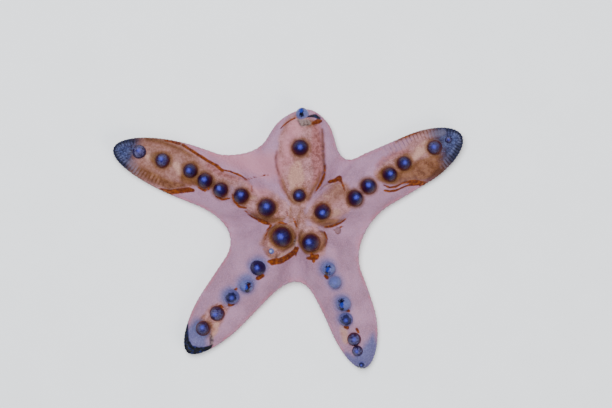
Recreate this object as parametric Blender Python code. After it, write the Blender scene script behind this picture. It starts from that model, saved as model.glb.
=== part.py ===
"""Horned sea star lying flat with its arms spread, life size, in metres, +Z up.

The body is one closed shell worked out rib by rib. A rib is half a cross-section: it starts on the
crest of an arm, goes down over the margin and comes back under the body into the arm's groove. The
shell is then parted by thin straight cuts into a disc, five arms and five arm tips, and every horn
is joined to the piece that it grows from.
"""

import math
from dataclasses import dataclass

import bmesh
import bpy
import numpy as np
from mathutils import Vector
from mathutils.bvhtree import BVHTree

MM = 0.001

# Upper side
CENTRE_HEIGHT = 28 * MM
TIP_HEIGHT = 10.5 * MM
SWELL = 2.5 * MM             # the crests rise a little under the ring of first horns
SWELL_AT = 17 * MM
SWELL_WIDTH = 9 * MM
DISC_FULLNESS = 0.75         # 1 lets the disc fall away between the arms as a cosine, less fills it
DOME_RADIUS = 13 * MM        # the ridges melt into a low dome at the centre
EDGE_HEIGHT = 9 * MM         # the margin's wall at the disc
EDGE_TIP_HEIGHT = 6 * MM
EDGE_BULGE = 1.3 * MM        # how far that wall bows out

# Underside
FLAT_INNER = 0.72            # it rests on a band from the margin in to this share of a rib
SOLE_HOLLOW = 1.3 * MM       # further in the sole is hollow by this much
GROOVE_HALF = 2.8 * MM
GROOVE_TIP_HALF = 1.3 * MM
GROOVE_DEPTH = 6.5 * MM
GROOVE_TIP_DEPTH = 2.5 * MM
MOUTH_RADIUS = 5.5 * MM
MOUTH_DEPTH = 8.0 * MM
MOUTH_SPREAD = 8 * MM        # the pit runs into the grooves over this distance

# Parting
GAP = 0.36 * MM
CREST_INSET = 6.5 * MM       # a crest ends this far short of its arm's point

# Steps along a half arm and along a rib
NOTCH_STEPS, FLANK_STEPS, TIP_STEPS = 7, 4, 5
ROOF_STEPS, WALL_STEPS, SOLE_STEPS, GROOVE_STEPS = 6, 4, 2, 2

# Horns
HORN_SIDES, HORN_RINGS = 10, 3
HORN_ROOT = 2.2 * MM         # depth of a horn's foot inside the body
HORN_LEAN = 0.5              # 0 stands a horn upright, 1 along the surface's normal
HORN_LOW, HORN_TALL = 1.35, 1.65   # heights of the smallest and the largest horns, in radii
HORN_LARGE = 6 * MM

SIEVE_HEADING = -16.0        # the sieve plate lies on the disc between two arms
SIEVE_AT = 25 * MM
SIEVE_RADIUS = 2.5 * MM
SIEVE_HEIGHT = 0.9 * MM
CLEAR = 0.45 * MM            # air under the sieve plate and round the mouth

DISC_COLOUR = (0.43, 0.26, 0.30, 1)
ARM_COLOUR = (0.40, 0.20, 0.14, 1)
TIP_COLOUR = (0.06, 0.06, 0.10, 1)
SIEVE_COLOUR = (0.60, 0.40, 0.20, 1)
MOUTH_COLOUR = (0.60, 0.42, 0.36, 1)


@dataclass
class Arm:
    """One arm: angles in degrees, lengths in metres, measured from the centre of the disc."""

    name: str
    heading: float      # direction of the point, from +X towards +Y
    reach: float        # centre to point
    waist: float        # where the notch's curve hands over to the flank
    waist_half: float   # half width there
    tip_half: float     # half width that the flank tapers towards
    tip_share: float    # share of the reach that is rounded off
    bow: float          # sideways bend of the middle line at half reach
    lift: float         # how far the point curls up off the floor
    blunt: float        # 1 for a slender point, more for a thick one
    base: float         # the cut between disc and arm
    dark: float         # the cut between arm and tip
    horns: tuple        # (distance along the arm, distance to its left, radius) in millimetres


ARMS = (
    Arm("right", 26.6, 0.1102, 0.054, 0.0175, 0.0140, 0.27, -0.0007, 0.004, 1.0, 0.04095, 0.082,
        ((15.2, -2.6, 4.8), (35.7, -4.0, 4.8), (46.1, -1.3, 4.7), (60.5, -0.6, 4.5),
         (71.2, 1.3, 4.4), (91.8, 1.4, 4.5), (101.0, 1.6, 2.1))),
    Arm("top", 84.5, 0.0656, 0.045, 0.0215, 0.0122, 0.19, 0.0020, 0.0, 1.35, 0.0355, 0.0528,
        ((13.5, -1.4, 3.9), (41.6, 0.3, 5.0), (62.3, 2.9, 3.3))),
    Arm("left", 159.0, 0.1172, 0.058, 0.0170, 0.0156, 0.40, -0.0023, 0.004, 1.0, 0.0415, 0.0941,
        ((18.7, 1.5, 5.4), (35.1, 1.4, 4.7), (47.8, 2.6, 4.6), (58.5, 0.7, 4.7),
         (68.8, -1.5, 4.5), (86.5, -1.6, 4.5), (101.3, -2.2, 4.2))),
    Arm("low_left", -129.2, 0.1036, 0.046, 0.0181, 0.0128, 0.33, -0.0005, 0.002, 1.0, 0.0432, 0.0798,
        ((13.8, 0.2, 6.0), (24.1, 1.0, 1.8), (36.9, 1.1, 4.7), (49.3, 2.5, 4.4),
         (60.1, 0.1, 4.6), (73.5, -0.6, 4.7), (85.8, -1.6, 4.5))),
    Arm("low_right", -65.3, 0.0985, 0.046, 0.0162, 0.0132, 0.31, 0.0057, 0.001, 1.0, 0.03915, 0.0735,
        ((16.3, -1.6, 5.4), (34.6, -0.7, 4.3), (43.4, -1.0, 4.0), (57.3, -1.5, 4.6),
         (66.4, -3.6, 4.3), (79.3, -2.7, 4.2), (86.4, -2.7, 3.3), (94.8, -2.0, 2.4))),
)
# Tangents that round off each notch: from the arm of the same place in ARMS and from the next one
NOTCH_TANGENTS = (
    (0.0035, 0.0130), (0.0105, 0.0040), (0.0168, 0.0156), (0.0141, 0.0130), (0.0156, 0.0160),
)


def smooth(x):
    """0 below 0 and 1 above 1, with level ends."""
    x = np.clip(x, 0, 1)
    return x * x * (3 - 2 * x)


def mix(a, b, share):
    return a + (b - a) * share


def direction(degrees):
    angle = math.radians(degrees)
    return np.array([math.cos(angle), math.sin(angle)])


def left_of(heading):
    return np.array([-heading[1], heading[0]])


def middle(arm, s):
    """Plan points of an arm's middle line: a straight heading with a parabolic bow."""
    along = direction(arm.heading)
    share = s / arm.reach
    sideways = arm.bow * 4 * share * (1 - share)
    return s[:, None] * along + sideways[:, None] * left_of(along)


def half_width(arm, s):
    """A straight taper from the waist, closed by a quarter ellipse."""
    taper = mix(arm.waist_half, arm.tip_half, (s - arm.waist) / (arm.reach - arm.waist))
    start = arm.reach * (1 - arm.tip_share)
    x = np.clip((s - start) / (arm.reach - start), 0, 1)
    return taper * np.sqrt(1 - x * x)


def flank(arm, side, s):
    """Plan points of the margin: side 1 on the left of the arm, -1 on its right."""
    across = left_of(direction(arm.heading))
    return middle(arm, s) + side * half_width(arm, s)[:, None] * across


def notch(index, t):
    """Plan points of the margin between arm index and the next one: a cubic from flank to flank."""
    ends, tangents = [], []
    for arm, side in ((ARMS[index], 1), (ARMS[(index + 1) % len(ARMS)], -1)):
        here, ahead = flank(arm, side, np.array([arm.waist, arm.waist + MM]))
        ends.append(here)
        tangents.append((ahead - here) / MM)
    near, far = NOTCH_TANGENTS[index]
    a, d = ends
    b = a - tangents[0] * near
    c = d - tangents[1] * far
    t = t[:, None]
    return (1 - t) ** 3 * a + 3 * (1 - t) ** 2 * t * b + 3 * (1 - t) * t * t * c + t**3 * d


def crest_height(arm, s):
    """Falls from disc to tip along half a cosine, with a swell under the first horns."""
    share = min(s / (arm.reach - CREST_INSET), 1)
    fall = (1 - math.cos(math.pi * share**0.85)) / 2
    swell = SWELL * math.exp(-(((s - SWELL_AT) / SWELL_WIDTH) ** 2))
    return mix(CENTRE_HEIGHT, TIP_HEIGHT * arm.blunt, fall) + swell


def stations(index, side):
    """Feet of the ribs of one half arm, from the middle of the notch to the arm's point.

    Returns distances along the crest, crest points, margin points, and how much of the disc's
    shape a rib has: 1 at the notch and 0 from the waist on.
    """
    arm = ARMS[index]
    q = np.linspace(0, 1, NOTCH_STEPS + 1)
    between = index if side > 0 else (index - 1) % len(ARMS)
    start = max(arm.reach * (1 - arm.tip_share), arm.waist + 2 * MM)
    s_flank = np.linspace(arm.waist, start, FLANK_STEPS + 1)[1:]
    turn = np.sin(np.linspace(0, np.pi / 2, TIP_STEPS + 1))[1:]
    s_margin = start + (arm.reach - start) * turn
    s_crest = start + (arm.reach - CREST_INSET - start) * turn
    margin = np.concatenate([
        notch(between, 0.5 - 0.5 * side * q),
        flank(arm, side, s_flank),
        flank(arm, side, s_margin),
    ])
    s = np.concatenate([arm.waist * q * q, s_flank, s_crest])
    disc_like = np.concatenate([(1 + np.cos(np.pi * q)) / 2, np.zeros(FLANK_STEPS + TIP_STEPS)])
    return s, middle(arm, s), margin, disc_like


def rib_section(arm, s, length, slant, disc_like):
    """A rib from crest to groove as (share of its length out from the crest, height)."""
    along = s / arm.reach
    crest = crest_height(arm, s)
    edge = mix(EDGE_HEIGHT, EDGE_TIP_HEIGHT * arm.blunt, smooth(along))
    shoulder = 1 - EDGE_BULGE / length
    a = np.sin(np.linspace(0, np.pi / 2, ROOF_STEPS + 1)) ** 1.15
    on_arm = (1 - a**1.9) ** 0.9
    on_disc = ((1 + np.cos(np.pi * a)) / 2) ** DISC_FULLNESS
    roof = np.stack([a * shoulder, edge + (crest - edge) * mix(on_arm, on_disc, disc_like)], 1)

    turn = np.linspace(0, np.pi, WALL_STEPS + 1)[1:]
    bulge = (1 - shoulder) * np.sin(turn)
    wall = np.stack([shoulder + bulge, edge * (1 + np.cos(turn)) / 2], 1)

    at_mouth = math.exp(-((s / MOUTH_SPREAD) ** 2))
    half = mix(GROOVE_HALF, GROOVE_TIP_HALF, smooth(along)) / slant
    lip = mix(half, MOUTH_RADIUS, at_mouth) / length
    depth = mix(mix(GROOVE_DEPTH, GROOVE_TIP_DEPTH, along), MOUTH_DEPTH, at_mouth)
    inward = np.linspace(0, 1, SOLE_STEPS + 1)
    sole = np.stack([mix(FLAT_INNER, lip, inward), SOLE_HOLLOW * smooth(inward)], 1)
    up = np.linspace(0, 1, GROOVE_STEPS + 1)[1:]
    groove = np.stack([lip * (1 - up**1.6), mix(SOLE_HOLLOW, depth, up**0.8)], 1)
    return np.concatenate([roof, wall, sole, groove])


def half_arm(index, side):
    """Grid of points of one half arm: stations x points of a rib."""
    arm = ARMS[index]
    along = direction(arm.heading)
    grid = []
    for s, inner, outer, disc_like in zip(*stations(index, side)):
        span = outer - inner
        length = float(np.linalg.norm(span))
        slant = abs(float(np.dot(span / length, left_of(along)))) if s < arm.waist else 1.0
        section = rib_section(arm, s, length, max(slant, 0.5), disc_like)
        plan = inner + section[:, :1] * span
        curl = np.clip((plan @ along / arm.reach - 0.62) / 0.38, 0, 1)
        height = section[:, 1] + arm.lift * curl**2
        dome = np.exp(-((np.linalg.norm(plan, axis=1) / DOME_RADIUS) ** 2))
        dome[ROOF_STEPS + 1:] = 0
        grid.append(np.column_stack([plan, mix(height, CENTRE_HEIGHT, dome)]))
    return grid


def body_shell():
    """The whole body, closed, with its faces outwards."""
    bm = bmesh.new()
    for index in range(len(ARMS)):
        for side in (1, -1):
            rows = [[bm.verts.new(point) for point in rib] for rib in half_arm(index, side)]
            for near, far in zip(rows, rows[1:]):
                for i in range(len(near) - 1):
                    bm.faces.new((near[i], near[i + 1], far[i + 1], far[i]))
    bmesh.ops.remove_doubles(bm, verts=bm.verts, dist=0.001 * MM)
    bmesh.ops.recalc_face_normals(bm, faces=bm.faces)
    return bm


def cut(bm, normal, distance):
    """Takes away what lies further than a distance along a plan normal and closes the cut."""
    normal = Vector((normal[0], normal[1], 0))
    done = bmesh.ops.bisect_plane(
        bm,
        geom=bm.verts[:] + bm.edges[:] + bm.faces[:],
        dist=0.001 * MM,
        plane_co=normal * distance,
        plane_no=normal,
        clear_outer=True,
    )
    rim = [item for item in done["geom_cut"] if isinstance(item, bmesh.types.BMEdge)]
    bmesh.ops.holes_fill(bm, edges=rim, sides=0)


def seam(index):
    """Unit vector from the centre to where the cuts at the bases of two neighbouring arms meet."""
    arm, beyond = ARMS[index], ARMS[(index + 1) % len(ARMS)]
    normals = np.array([direction(arm.heading), direction(beyond.heading)])
    corner = np.linalg.solve(normals, [arm.base, beyond.base])
    return corner / np.linalg.norm(corner)


def finished(name, bm, colour=None, roughness=0.45):
    """A mesh object with its faces outwards and a material of its own when it has a colour."""
    bmesh.ops.recalc_face_normals(bm, faces=bm.faces)
    mesh = bpy.data.meshes.new(name)
    bm.to_mesh(mesh)
    bm.free()
    mesh.shade_smooth()
    mesh.set_sharp_from_angle(angle=math.radians(50))
    obj = bpy.data.objects.new(name, mesh)
    bpy.context.collection.objects.link(obj)
    if colour:
        material = bpy.data.materials.new(name)
        material.use_nodes = True
        shader = material.node_tree.nodes["Principled BSDF"]
        shader.inputs["Base Color"].default_value = colour
        shader.inputs["Roughness"].default_value = roughness
        shader.inputs["Metallic"].default_value = 0.0
        mesh.materials.append(material)
    return obj


def make_disc(shell):
    bm = shell.copy()
    for arm in ARMS:
        cut(bm, direction(arm.heading), arm.base - GAP / 2)
    return finished("disc", bm, DISC_COLOUR)


def make_limb(shell, index):
    """The arm and its tip as two pieces."""
    arm = ARMS[index]
    along = direction(arm.heading)
    whole = shell.copy()
    cut(whole, -along, -arm.base - GAP / 2)
    cut(whole, left_of(seam(index)), -GAP / 2)
    cut(whole, -left_of(seam((index - 1) % len(ARMS))), -GAP / 2)
    tip = whole.copy()
    cut(whole, along, arm.dark - GAP / 2)
    cut(tip, -along, -arm.dark - GAP / 2)
    limb = finished(f"arm_{arm.name}", whole, ARM_COLOUR)
    return limb, finished(f"tip_{arm.name}", tip, TIP_COLOUR, 0.35)


def lathe(bm, base, axis, profile, sides):
    """Turns (radius, height) about an axis; the first ring is closed and the last point is on it."""
    turn = Vector((0, 0, 1)).rotation_difference(axis)
    rings = []
    for radius, height in profile[:-1]:
        ring = []
        for i in range(sides):
            angle = 2 * math.pi * i / sides
            offset = Vector((radius * math.cos(angle), radius * math.sin(angle), height))
            ring.append(bm.verts.new(base + turn @ offset))
        rings.append(ring)
    apex = bm.verts.new(base + turn @ Vector((0, 0, profile[-1][1])))
    bm.faces.new(rings[0][::-1])
    for lower, upper in zip(rings, rings[1:]):
        for i in range(sides):
            j = (i + 1) % sides
            bm.faces.new((lower[i], lower[j], upper[j], upper[i]))
    for i in range(sides):
        bm.faces.new((rings[-1][i], rings[-1][(i + 1) % sides], apex))


def top_of(surface, plan):
    """The point and normal of the upper side above a plan point."""
    point, normal, _, _ = surface.ray_cast(Vector((plan[0], plan[1], 0.1)), Vector((0, 0, -1)))
    return point, normal


def horn_profile(radius):
    """A blunt cone with a round head, from its foot inside the body to its apex."""
    t = np.sin(np.linspace(0, np.pi / 2, HORN_RINGS + 1)) ** 0.9
    height = radius * mix(HORN_LOW, HORN_TALL, min(radius / HORN_LARGE, 1))
    rings = radius * (1 - t**1.7) ** 0.72
    return [(radius, -min(HORN_ROOT, radius))] + list(zip(rings, height * t))


def join_horn(surface, arm, number, piece):
    """Grows one horn out of a piece of the body."""
    along_mm, left_mm, radius_mm = arm.horns[number]
    across = left_of(direction(arm.heading))
    plan = middle(arm, np.array([along_mm * MM]))[0] + left_mm * MM * across
    base, normal = top_of(surface, plan)
    bm = bmesh.new()
    axis = Vector((0, 0, 1)).lerp(normal, HORN_LEAN).normalized()
    lathe(bm, base, axis, horn_profile(radius_mm * MM), HORN_SIDES)
    horn = finished(f"horn_{arm.name}_{number}", bm)
    horn.hide_render = True
    horn.display_type = "WIRE"
    join = piece.modifiers.new(horn.name, "BOOLEAN")
    join.operation = "UNION"
    join.solver = "EXACT"
    join.object = horn


def make_sieve_plate(surface):
    """A low dome draped close over the disc."""
    turn = np.linspace(0, np.pi / 2, 4)
    rise = CLEAR + 0.3 * MM + SIEVE_HEIGHT * np.sin(turn)
    rim = [(SIEVE_RADIUS * 0.92, CLEAR)]
    centre = direction(SIEVE_HEADING) * SIEVE_AT
    bm = bmesh.new()
    profile = rim + list(zip(SIEVE_RADIUS * np.cos(turn), rise))
    lathe(bm, Vector((centre[0], centre[1], 0)), Vector((0, 0, 1)), profile, 14)
    for vert in bm.verts:
        vert.co.z += top_of(surface, vert.co)[0].z
    return finished("madreporite", bm, SIEVE_COLOUR, 0.55)


def make_mouth():
    """The lips: a small dome up in the pit where the five grooves meet, well off the floor."""
    up = np.linspace(0.42, 0.85, 4)
    radius = (MOUTH_RADIUS * (1 - up**1.6) - CLEAR) * 0.9
    height = mix(SOLE_HOLLOW, MOUTH_DEPTH, up**0.8) - CLEAR
    profile = list(zip(radius, height)) + [(0, height[-1] + 0.2 * MM)]
    bm = bmesh.new()
    lathe(bm, Vector((0, 0, 0)), Vector((0, 0, 1)), profile, 16)
    return finished("mouth", bm, MOUTH_COLOUR, 0.5)


def centre_on_floor(objects):
    """Puts the origin under the middle of the whole outline's box."""
    points = np.array([v.co for obj in objects for v in obj.data.vertices])
    centre = (points.min(axis=0) + points.max(axis=0)) / 2
    for obj in bpy.context.scene.objects:
        obj.location = (-centre[0], -centre[1], 0)


def build():
    for obj in list(bpy.data.objects):
        bpy.data.objects.remove(obj)
    shell = body_shell()
    surface = BVHTree.FromBMesh(shell)
    disc = make_disc(shell)
    pieces = [disc]
    for index, arm in enumerate(ARMS):
        limb, tip = make_limb(shell, index)
        pieces += [limb, tip]
        for number, (along_mm, _, _) in enumerate(arm.horns):
            piece = tip if along_mm * MM > arm.dark else limb
            piece = disc if along_mm * MM < arm.base else piece
            join_horn(surface, arm, number, piece)
    make_sieve_plate(surface)
    make_mouth()
    centre_on_floor(pieces)
    shell.free()


build()
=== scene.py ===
"""A horned sea star resting on a pale floor: fine skin, horns, granules, sieve plate and underside."""

import math
from dataclasses import dataclass

import bpy
import numpy as np
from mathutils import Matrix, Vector
from mathutils.bvhtree import BVHTree


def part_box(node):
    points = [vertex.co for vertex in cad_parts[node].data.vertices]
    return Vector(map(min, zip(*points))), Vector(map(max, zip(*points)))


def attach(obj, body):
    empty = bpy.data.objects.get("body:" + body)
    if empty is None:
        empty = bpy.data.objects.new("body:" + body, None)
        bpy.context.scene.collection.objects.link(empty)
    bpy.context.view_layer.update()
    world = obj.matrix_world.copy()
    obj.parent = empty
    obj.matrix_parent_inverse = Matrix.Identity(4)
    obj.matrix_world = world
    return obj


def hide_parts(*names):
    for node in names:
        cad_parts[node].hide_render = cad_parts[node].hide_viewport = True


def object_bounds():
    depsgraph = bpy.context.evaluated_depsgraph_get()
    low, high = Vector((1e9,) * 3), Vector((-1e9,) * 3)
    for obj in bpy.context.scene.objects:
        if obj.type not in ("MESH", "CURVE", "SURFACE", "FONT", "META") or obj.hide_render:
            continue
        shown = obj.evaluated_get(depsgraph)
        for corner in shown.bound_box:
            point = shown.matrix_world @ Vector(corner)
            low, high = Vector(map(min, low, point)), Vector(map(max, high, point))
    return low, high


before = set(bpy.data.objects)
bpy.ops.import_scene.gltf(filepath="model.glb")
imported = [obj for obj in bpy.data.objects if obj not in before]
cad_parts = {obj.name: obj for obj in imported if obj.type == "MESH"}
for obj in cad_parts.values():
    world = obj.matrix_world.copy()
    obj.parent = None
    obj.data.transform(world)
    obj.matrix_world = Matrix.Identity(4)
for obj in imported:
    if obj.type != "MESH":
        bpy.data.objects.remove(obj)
cad_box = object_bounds()
MM = 0.001

# ---------------------------------------------------------------- the body's shape, as in the solids

CENTRE_HEIGHT, TIP_HEIGHT = 28 * MM, 10.5 * MM
CREST_FALL, SWELL, SWELL_AT, SWELL_WIDTH = 0.85, 2.5 * MM, 17 * MM, 9 * MM
DISC_FULLNESS, DOME_RADIUS = 0.75, 13 * MM
ARM_ROUND, ARM_FULLNESS, ROOF_SPACING = 1.9, 0.9, 1.08
EDGE_HEIGHT, EDGE_TIP_HEIGHT, EDGE_BULGE = 9 * MM, 6 * MM, 1.3 * MM
FLAT_INNER, SOLE_HOLLOW = 0.72, 1.3 * MM
GROOVE_HALF, GROOVE_TIP_HALF = 2.8 * MM, 1.3 * MM
GROOVE_DEPTH, GROOVE_TIP_DEPTH = 6.5 * MM, 2.5 * MM
GROOVE_WALL, GROOVE_VAULT = 1.6, 0.8
MOUTH_RADIUS, MOUTH_DEPTH, MOUTH_SPREAD = 5.5 * MM, 8.0 * MM, 8 * MM
CREST_INSET, LIFT_FROM = 6.5 * MM, 0.62      # the lift starts at this share of the reach
HORN_LEAN, HORN_LOW, HORN_TALL, HORN_LARGE = 0.5, 1.35, 1.65, 6 * MM
SIEVE_HEADING, SIEVE_AT, SIEVE_RADIUS, SIEVE_HEIGHT = -16.0, 25 * MM, 2.5 * MM, 0.9 * MM

SKIN_DEPTH = 0.8             # mm between the solids and the lowest parts of the skin's relief
FLANK_STEP, TIP_STEP = 0.8 * MM, 0.6 * MM                            # margin between two ribs
NOTCH_RIBS, TIP_CURVE, TIP_EXTRA_RIBS = 58, 1.15, 6
PLATE_LENGTH, PLATE_TIP_LENGTH = 3.5 * MM, 2.1 * MM                  # of the plates along the margin
ROOF_STEPS, WALL_STEPS, RIM_STEPS, SOLE_STEPS, GROOVE_STEPS = 34, 11, 2, 6, 5
RIM_LIE = 0.4                # how much of lie's third unit the flat rim takes
WELD = 0.002 * MM            # points that are nearer than this are one
FAR = 20.0                   # mm, the most that a distance field tells
UNWRAP = "unwrap_u", "unwrap_v"
COLOURS = (
    "blush", "tan", "warm", "cream", "flush", "ochre", "umber", "rust", "slate", "navy", "worn", "dusk",
    "ink", "stain", "ribs",
)


@dataclass
class Arm:
    """One arm: angles in degrees, lengths in metres, from the centre of the disc.

    From waist, where it is waist_half wide on each side, the arm tapers towards tip_half, and the last
    tip_share of its reach is rounded. bow is the middle line's bend to the left, lift the rise of the
    curled end, and blunt multiplies the end's height.

    horns holds (distance along, distance left of the middle line, radius, paleness), in millimetres. A
    horn of paleness 0 is indigo with a brown foot and collar, and below 0 it has neither. Above 0 it is
    frosted with grey, and from BARE on it has no collar. At 0.38 its foot is slate and its crown dark,
    at 0.8 it is slate with an inky streak, at 1 plain slate, and above that slate with a painted white
    highlight on its top.

    marks holds strokes of a colour, each a chain of (distance along, distance left, half width), in
    millimetres. Of these, navy is the dark tip, worn and dusk make its rim paler and darker, and ribs is
    where the pleats show.
    """

    name: str
    heading: float
    reach: float
    waist: float
    waist_half: float
    tip_half: float
    tip_share: float
    bow: float
    lift: float
    blunt: float
    horns: tuple
    marks: tuple


RIGHT_HORNS = (
    (15.2, -2.6, 4.8, 0), (35.7, -4.0, 4.8, 0), (46.1, -1.3, 4.7, 0), (60.5, -0.6, 4.5, 0),
    (71.2, 1.3, 4.4, 0.12), (91.8, 1.4, 4.5, 0.2), (101.0, 1.6, 2.1, 0.34),
)
RIGHT_MARKS = (
    ("tan", (6, -2, 2.5), (12, -3, 6.5), (18, -2.5, 9), (25, -1, 9.5), (30, 4, 6)),
    ("tan", (56, 2, 4), (62, 1, 7), (70, 1, 8), (76, 0, 9), (84, -1, 13), (95, -1, 16), (114, -1, 18)),
    ("cream", (18, -6.5, 1.6), (22.5, -7.2, 2.2)),
    # this cream stroke is a painted highlight, a thin glint on the wet skin
    ("cream", (20.5, 5.5, 0.5), (22, 3.8, 0.6)),
    ("cream", (23.8, 9.9, 0.3), (28.3, 9.5, 0.6), (32.2, 4.7, 0.3)),
    ("cream", (78, 1, 1.5), (84, 4, 3), (88, 6, 2)),
    ("flush", (57, 7.5, 1.2), (62, 9, 1.5), (70, 9, 1.5), (77, 7, 1)),
    ("ochre", (8, -3, 1.2), (9, -6, 1.5), (14, -10, 2.2), (19, -11.5, 1.8)),
    ("ochre", (57, 0, 4), (62, -4, 4), (70, -7, 4.5), (79, -7, 6.5), (88, -8, 6), (95, -8, 3)),
    ("ochre", (73, 15.2, 0.9), (82, 14.6, 0.8), (92, 12.8, 0.5)),
    ("ochre", (10.4, -9, 1.2), (13, -11, 1.6), (17, -12, 1.7), (21.5, -12.4, 1.3), (25, -12.6, 0.5)),
    ("rust", (12.6, -11.8, 0.3), (17, -13.4, 0.6), (22, -13.8, 0.5), (26, -13.2, 0.25)),
    ("rust", (26.8, 11.4, 0.5), (30, 10.9, 0.9), (33, 11.2, 1.4)),
    ("rust", (32.8, 10, 0.9), (33.2, 7.6, 0.45), (33.2, 5, 0.35), (32.4, 2, 0.25)),
    ("umber", (25, 9.8, 0.2), (29, 8.6, 0.3), (31.6, 5.5, 0.3)),
    ("rust", (17, -15.8, 0.3), (19.4, -16, 0.35), (22.2, -16.2, 0.3)),
    ("rust", (54.6, -4.8, 0.3), (57.3, -7.8, 0.5), (60.8, -9.1, 0.45), (65.8, -9, 0.3), (70.3, -10, 0.3)),
    ("rust", (53.8, -8, 0.4), (56.4, -10, 0.6), (60, -11.2, 0.55), (64.6, -11.4, 0.35), (68.5, -11.8, 0.45),
     (72.6, -13.4, 0.8), (76, -15.2, 0.8)),
    ("rust", (68.5, -9.9, 0.4), (72.3, -11.6, 1.1), (75, -13.8, 1.2), (77.5, -15.4, 0.8)),
    ("rust", (75, 15.7, 0.1), (82, 15, 0.2), (88, 14, 0.1)),
    ("umber", (77, -14.8, 0.8), (81, -14.8, 2.0), (86, -14.6, 3.0), (92, -13, 3.2), (98, -10.6, 2.4)),
    ("warm", (76, 4, 2), (90, 3, 4)),
    ("warm", (22, 2, 3.5), (28, 3.5, 5), (32, 4, 3)),
    ("navy", (130, -5, 36.6), (130, -5.1, 36.6)),
    ("dusk", (96, -9.8, 0.3), (101, -7.8, 1), (105.4, -4.8, 1.2)),
    ("worn", (93, 9.8, 1.4), (100, 7.6, 2.2)),
    ("ribs", (66, 13, 2), (78, 12.5, 3.5), (92, 9, 6)),
    ("ribs", (94, -11, 2), (99, -8, 4), (105, -3, 5), (107, 2, 3)),
)
TOP_HORNS = ((13.5, -1.4, 3.9, 0.1), (41.6, 0.3, 5.0, 0), (61.7, 2.3, 3.9, 0.8))
TOP_MARKS = (
    ("tan", (-4, 0, 6), (4, 0, 5), (10, -1, 5), (15, -1, 8), (22, -1, 11.5), (30, -0.8, 13.6),
     (38, -0.2, 13.4), (46, 0.8, 12.8), (52, 2.2, 10.5), (54.5, 3, 7)),
    ("cream", (18, 1, 3), (24, 0.8, 4.8), (28, 1, 4), (32, 0.5, 2)),
    ("flush", (22, -11, 2.2), (28, -12.4, 3.2), (34, -11.4, 4), (42, -10.4, 4.2), (50, -9.2, 3.8),
     (56, -7.4, 2.6)),
    ("blush", (34, 7, 2.5), (44, 7, 4), (53, 5, 4.5)),
    ("flush", (14, 7, 0.8), (20, 9.8, 1.2), (27, 12, 1.2), (33, 13.2, 1), (38, 13.4, 0.8)),
    ("umber", (16, -10.8, 0.4), (21, -13.6, 0.8), (26, -15.6, 1.2), (31, -15.8, 1.2), (38, -14.2, 0.9),
     (46, -12.9, 0.8), (54, -11.2, 0.6)),
    ("umber", (24, 11, 0.3), (29, 12.9, 0.4), (33, 13.9, 0.5), (38, 13.8, 0.4)),
    ("ochre", (-7, 0.5, 0.7), (-2, -0.5, 1.1), (5, -2, 0.6)),
    ("ochre", (-4, 4.5, 0.5), (1, 3.6, 0.9), (6, 3.4, 0.6)),
    ("ochre", (1, -5, 0.5), (6, -4.6, 0.8)),
    ("rust", (-5, 0.2, 0.2), (-3.6, 0.7, 0.45), (-0.4, 1.7, 0.35)),
    ("rust", (3.8, 5.8, 0.25), (0.8, 5.4, 0.3)),
    ("umber", (7, -2.6, 0.2), (4.4, -3.4, 0.35)),
    ("umber", (8.5, 8.6, 0.2), (4.4, 8.3, 0.3)),
    ("ochre", (9, 1.5, 0.8), (11.5, 4.4, 0.9), (17, 7.2, 0.7), (22, 9, 0.4)),
    ("ochre", (12, -7, 0.9), (17, -9, 1.1), (22, -11.8, 0.7), (28, -13.4, 0.5)),
    ("ochre", (55.5, -2, 1), (57, -5, 1.8)),
    ("rust", (17, -11.4, 0.25), (22, -14.2, 0.4), (28, -16.2, 0.4), (33, -15.6, 0.25)),
    ("umber", (17, -12.8, 0.1), (20.9, -16.4, 0.2), (23.3, -19.6, 0.2)),
    ("rust", (52, 13.8, 0.15), (54.3, 12.1, 0.25), (57, 9.6, 0.25), (59.4, 6.3, 0.2)),
    ("rust", (57, -5.5, 0.8), (58.6, -8, 1.4), (59, -9.6, 0.8)),
    ("cream", (56, 1, 1.2), (57, -2, 1)),
    ("stain", (58, 3.8, 0.9), (56.4, 1.2, 2.2), (57, -2, 1.8)),
    ("ink", (59.8, 1, 0.3), (61, -2, 0.7), (61.8, -5.5, 1.2), (60.8, -8.6, 0.7)),
)
LEFT_HORNS = (
    (18.7, 1.5, 5.4, 0.05), (35.1, 1.4, 4.7, 0), (47.8, 2.6, 4.6, 0), (58.5, 0.7, 4.7, 0),
    (68.8, -1.5, 4.5, 0.1), (86.5, -1.6, 4.5, 0.22), (101.3, -2.2, 4.2, 0.34),
)
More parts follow.
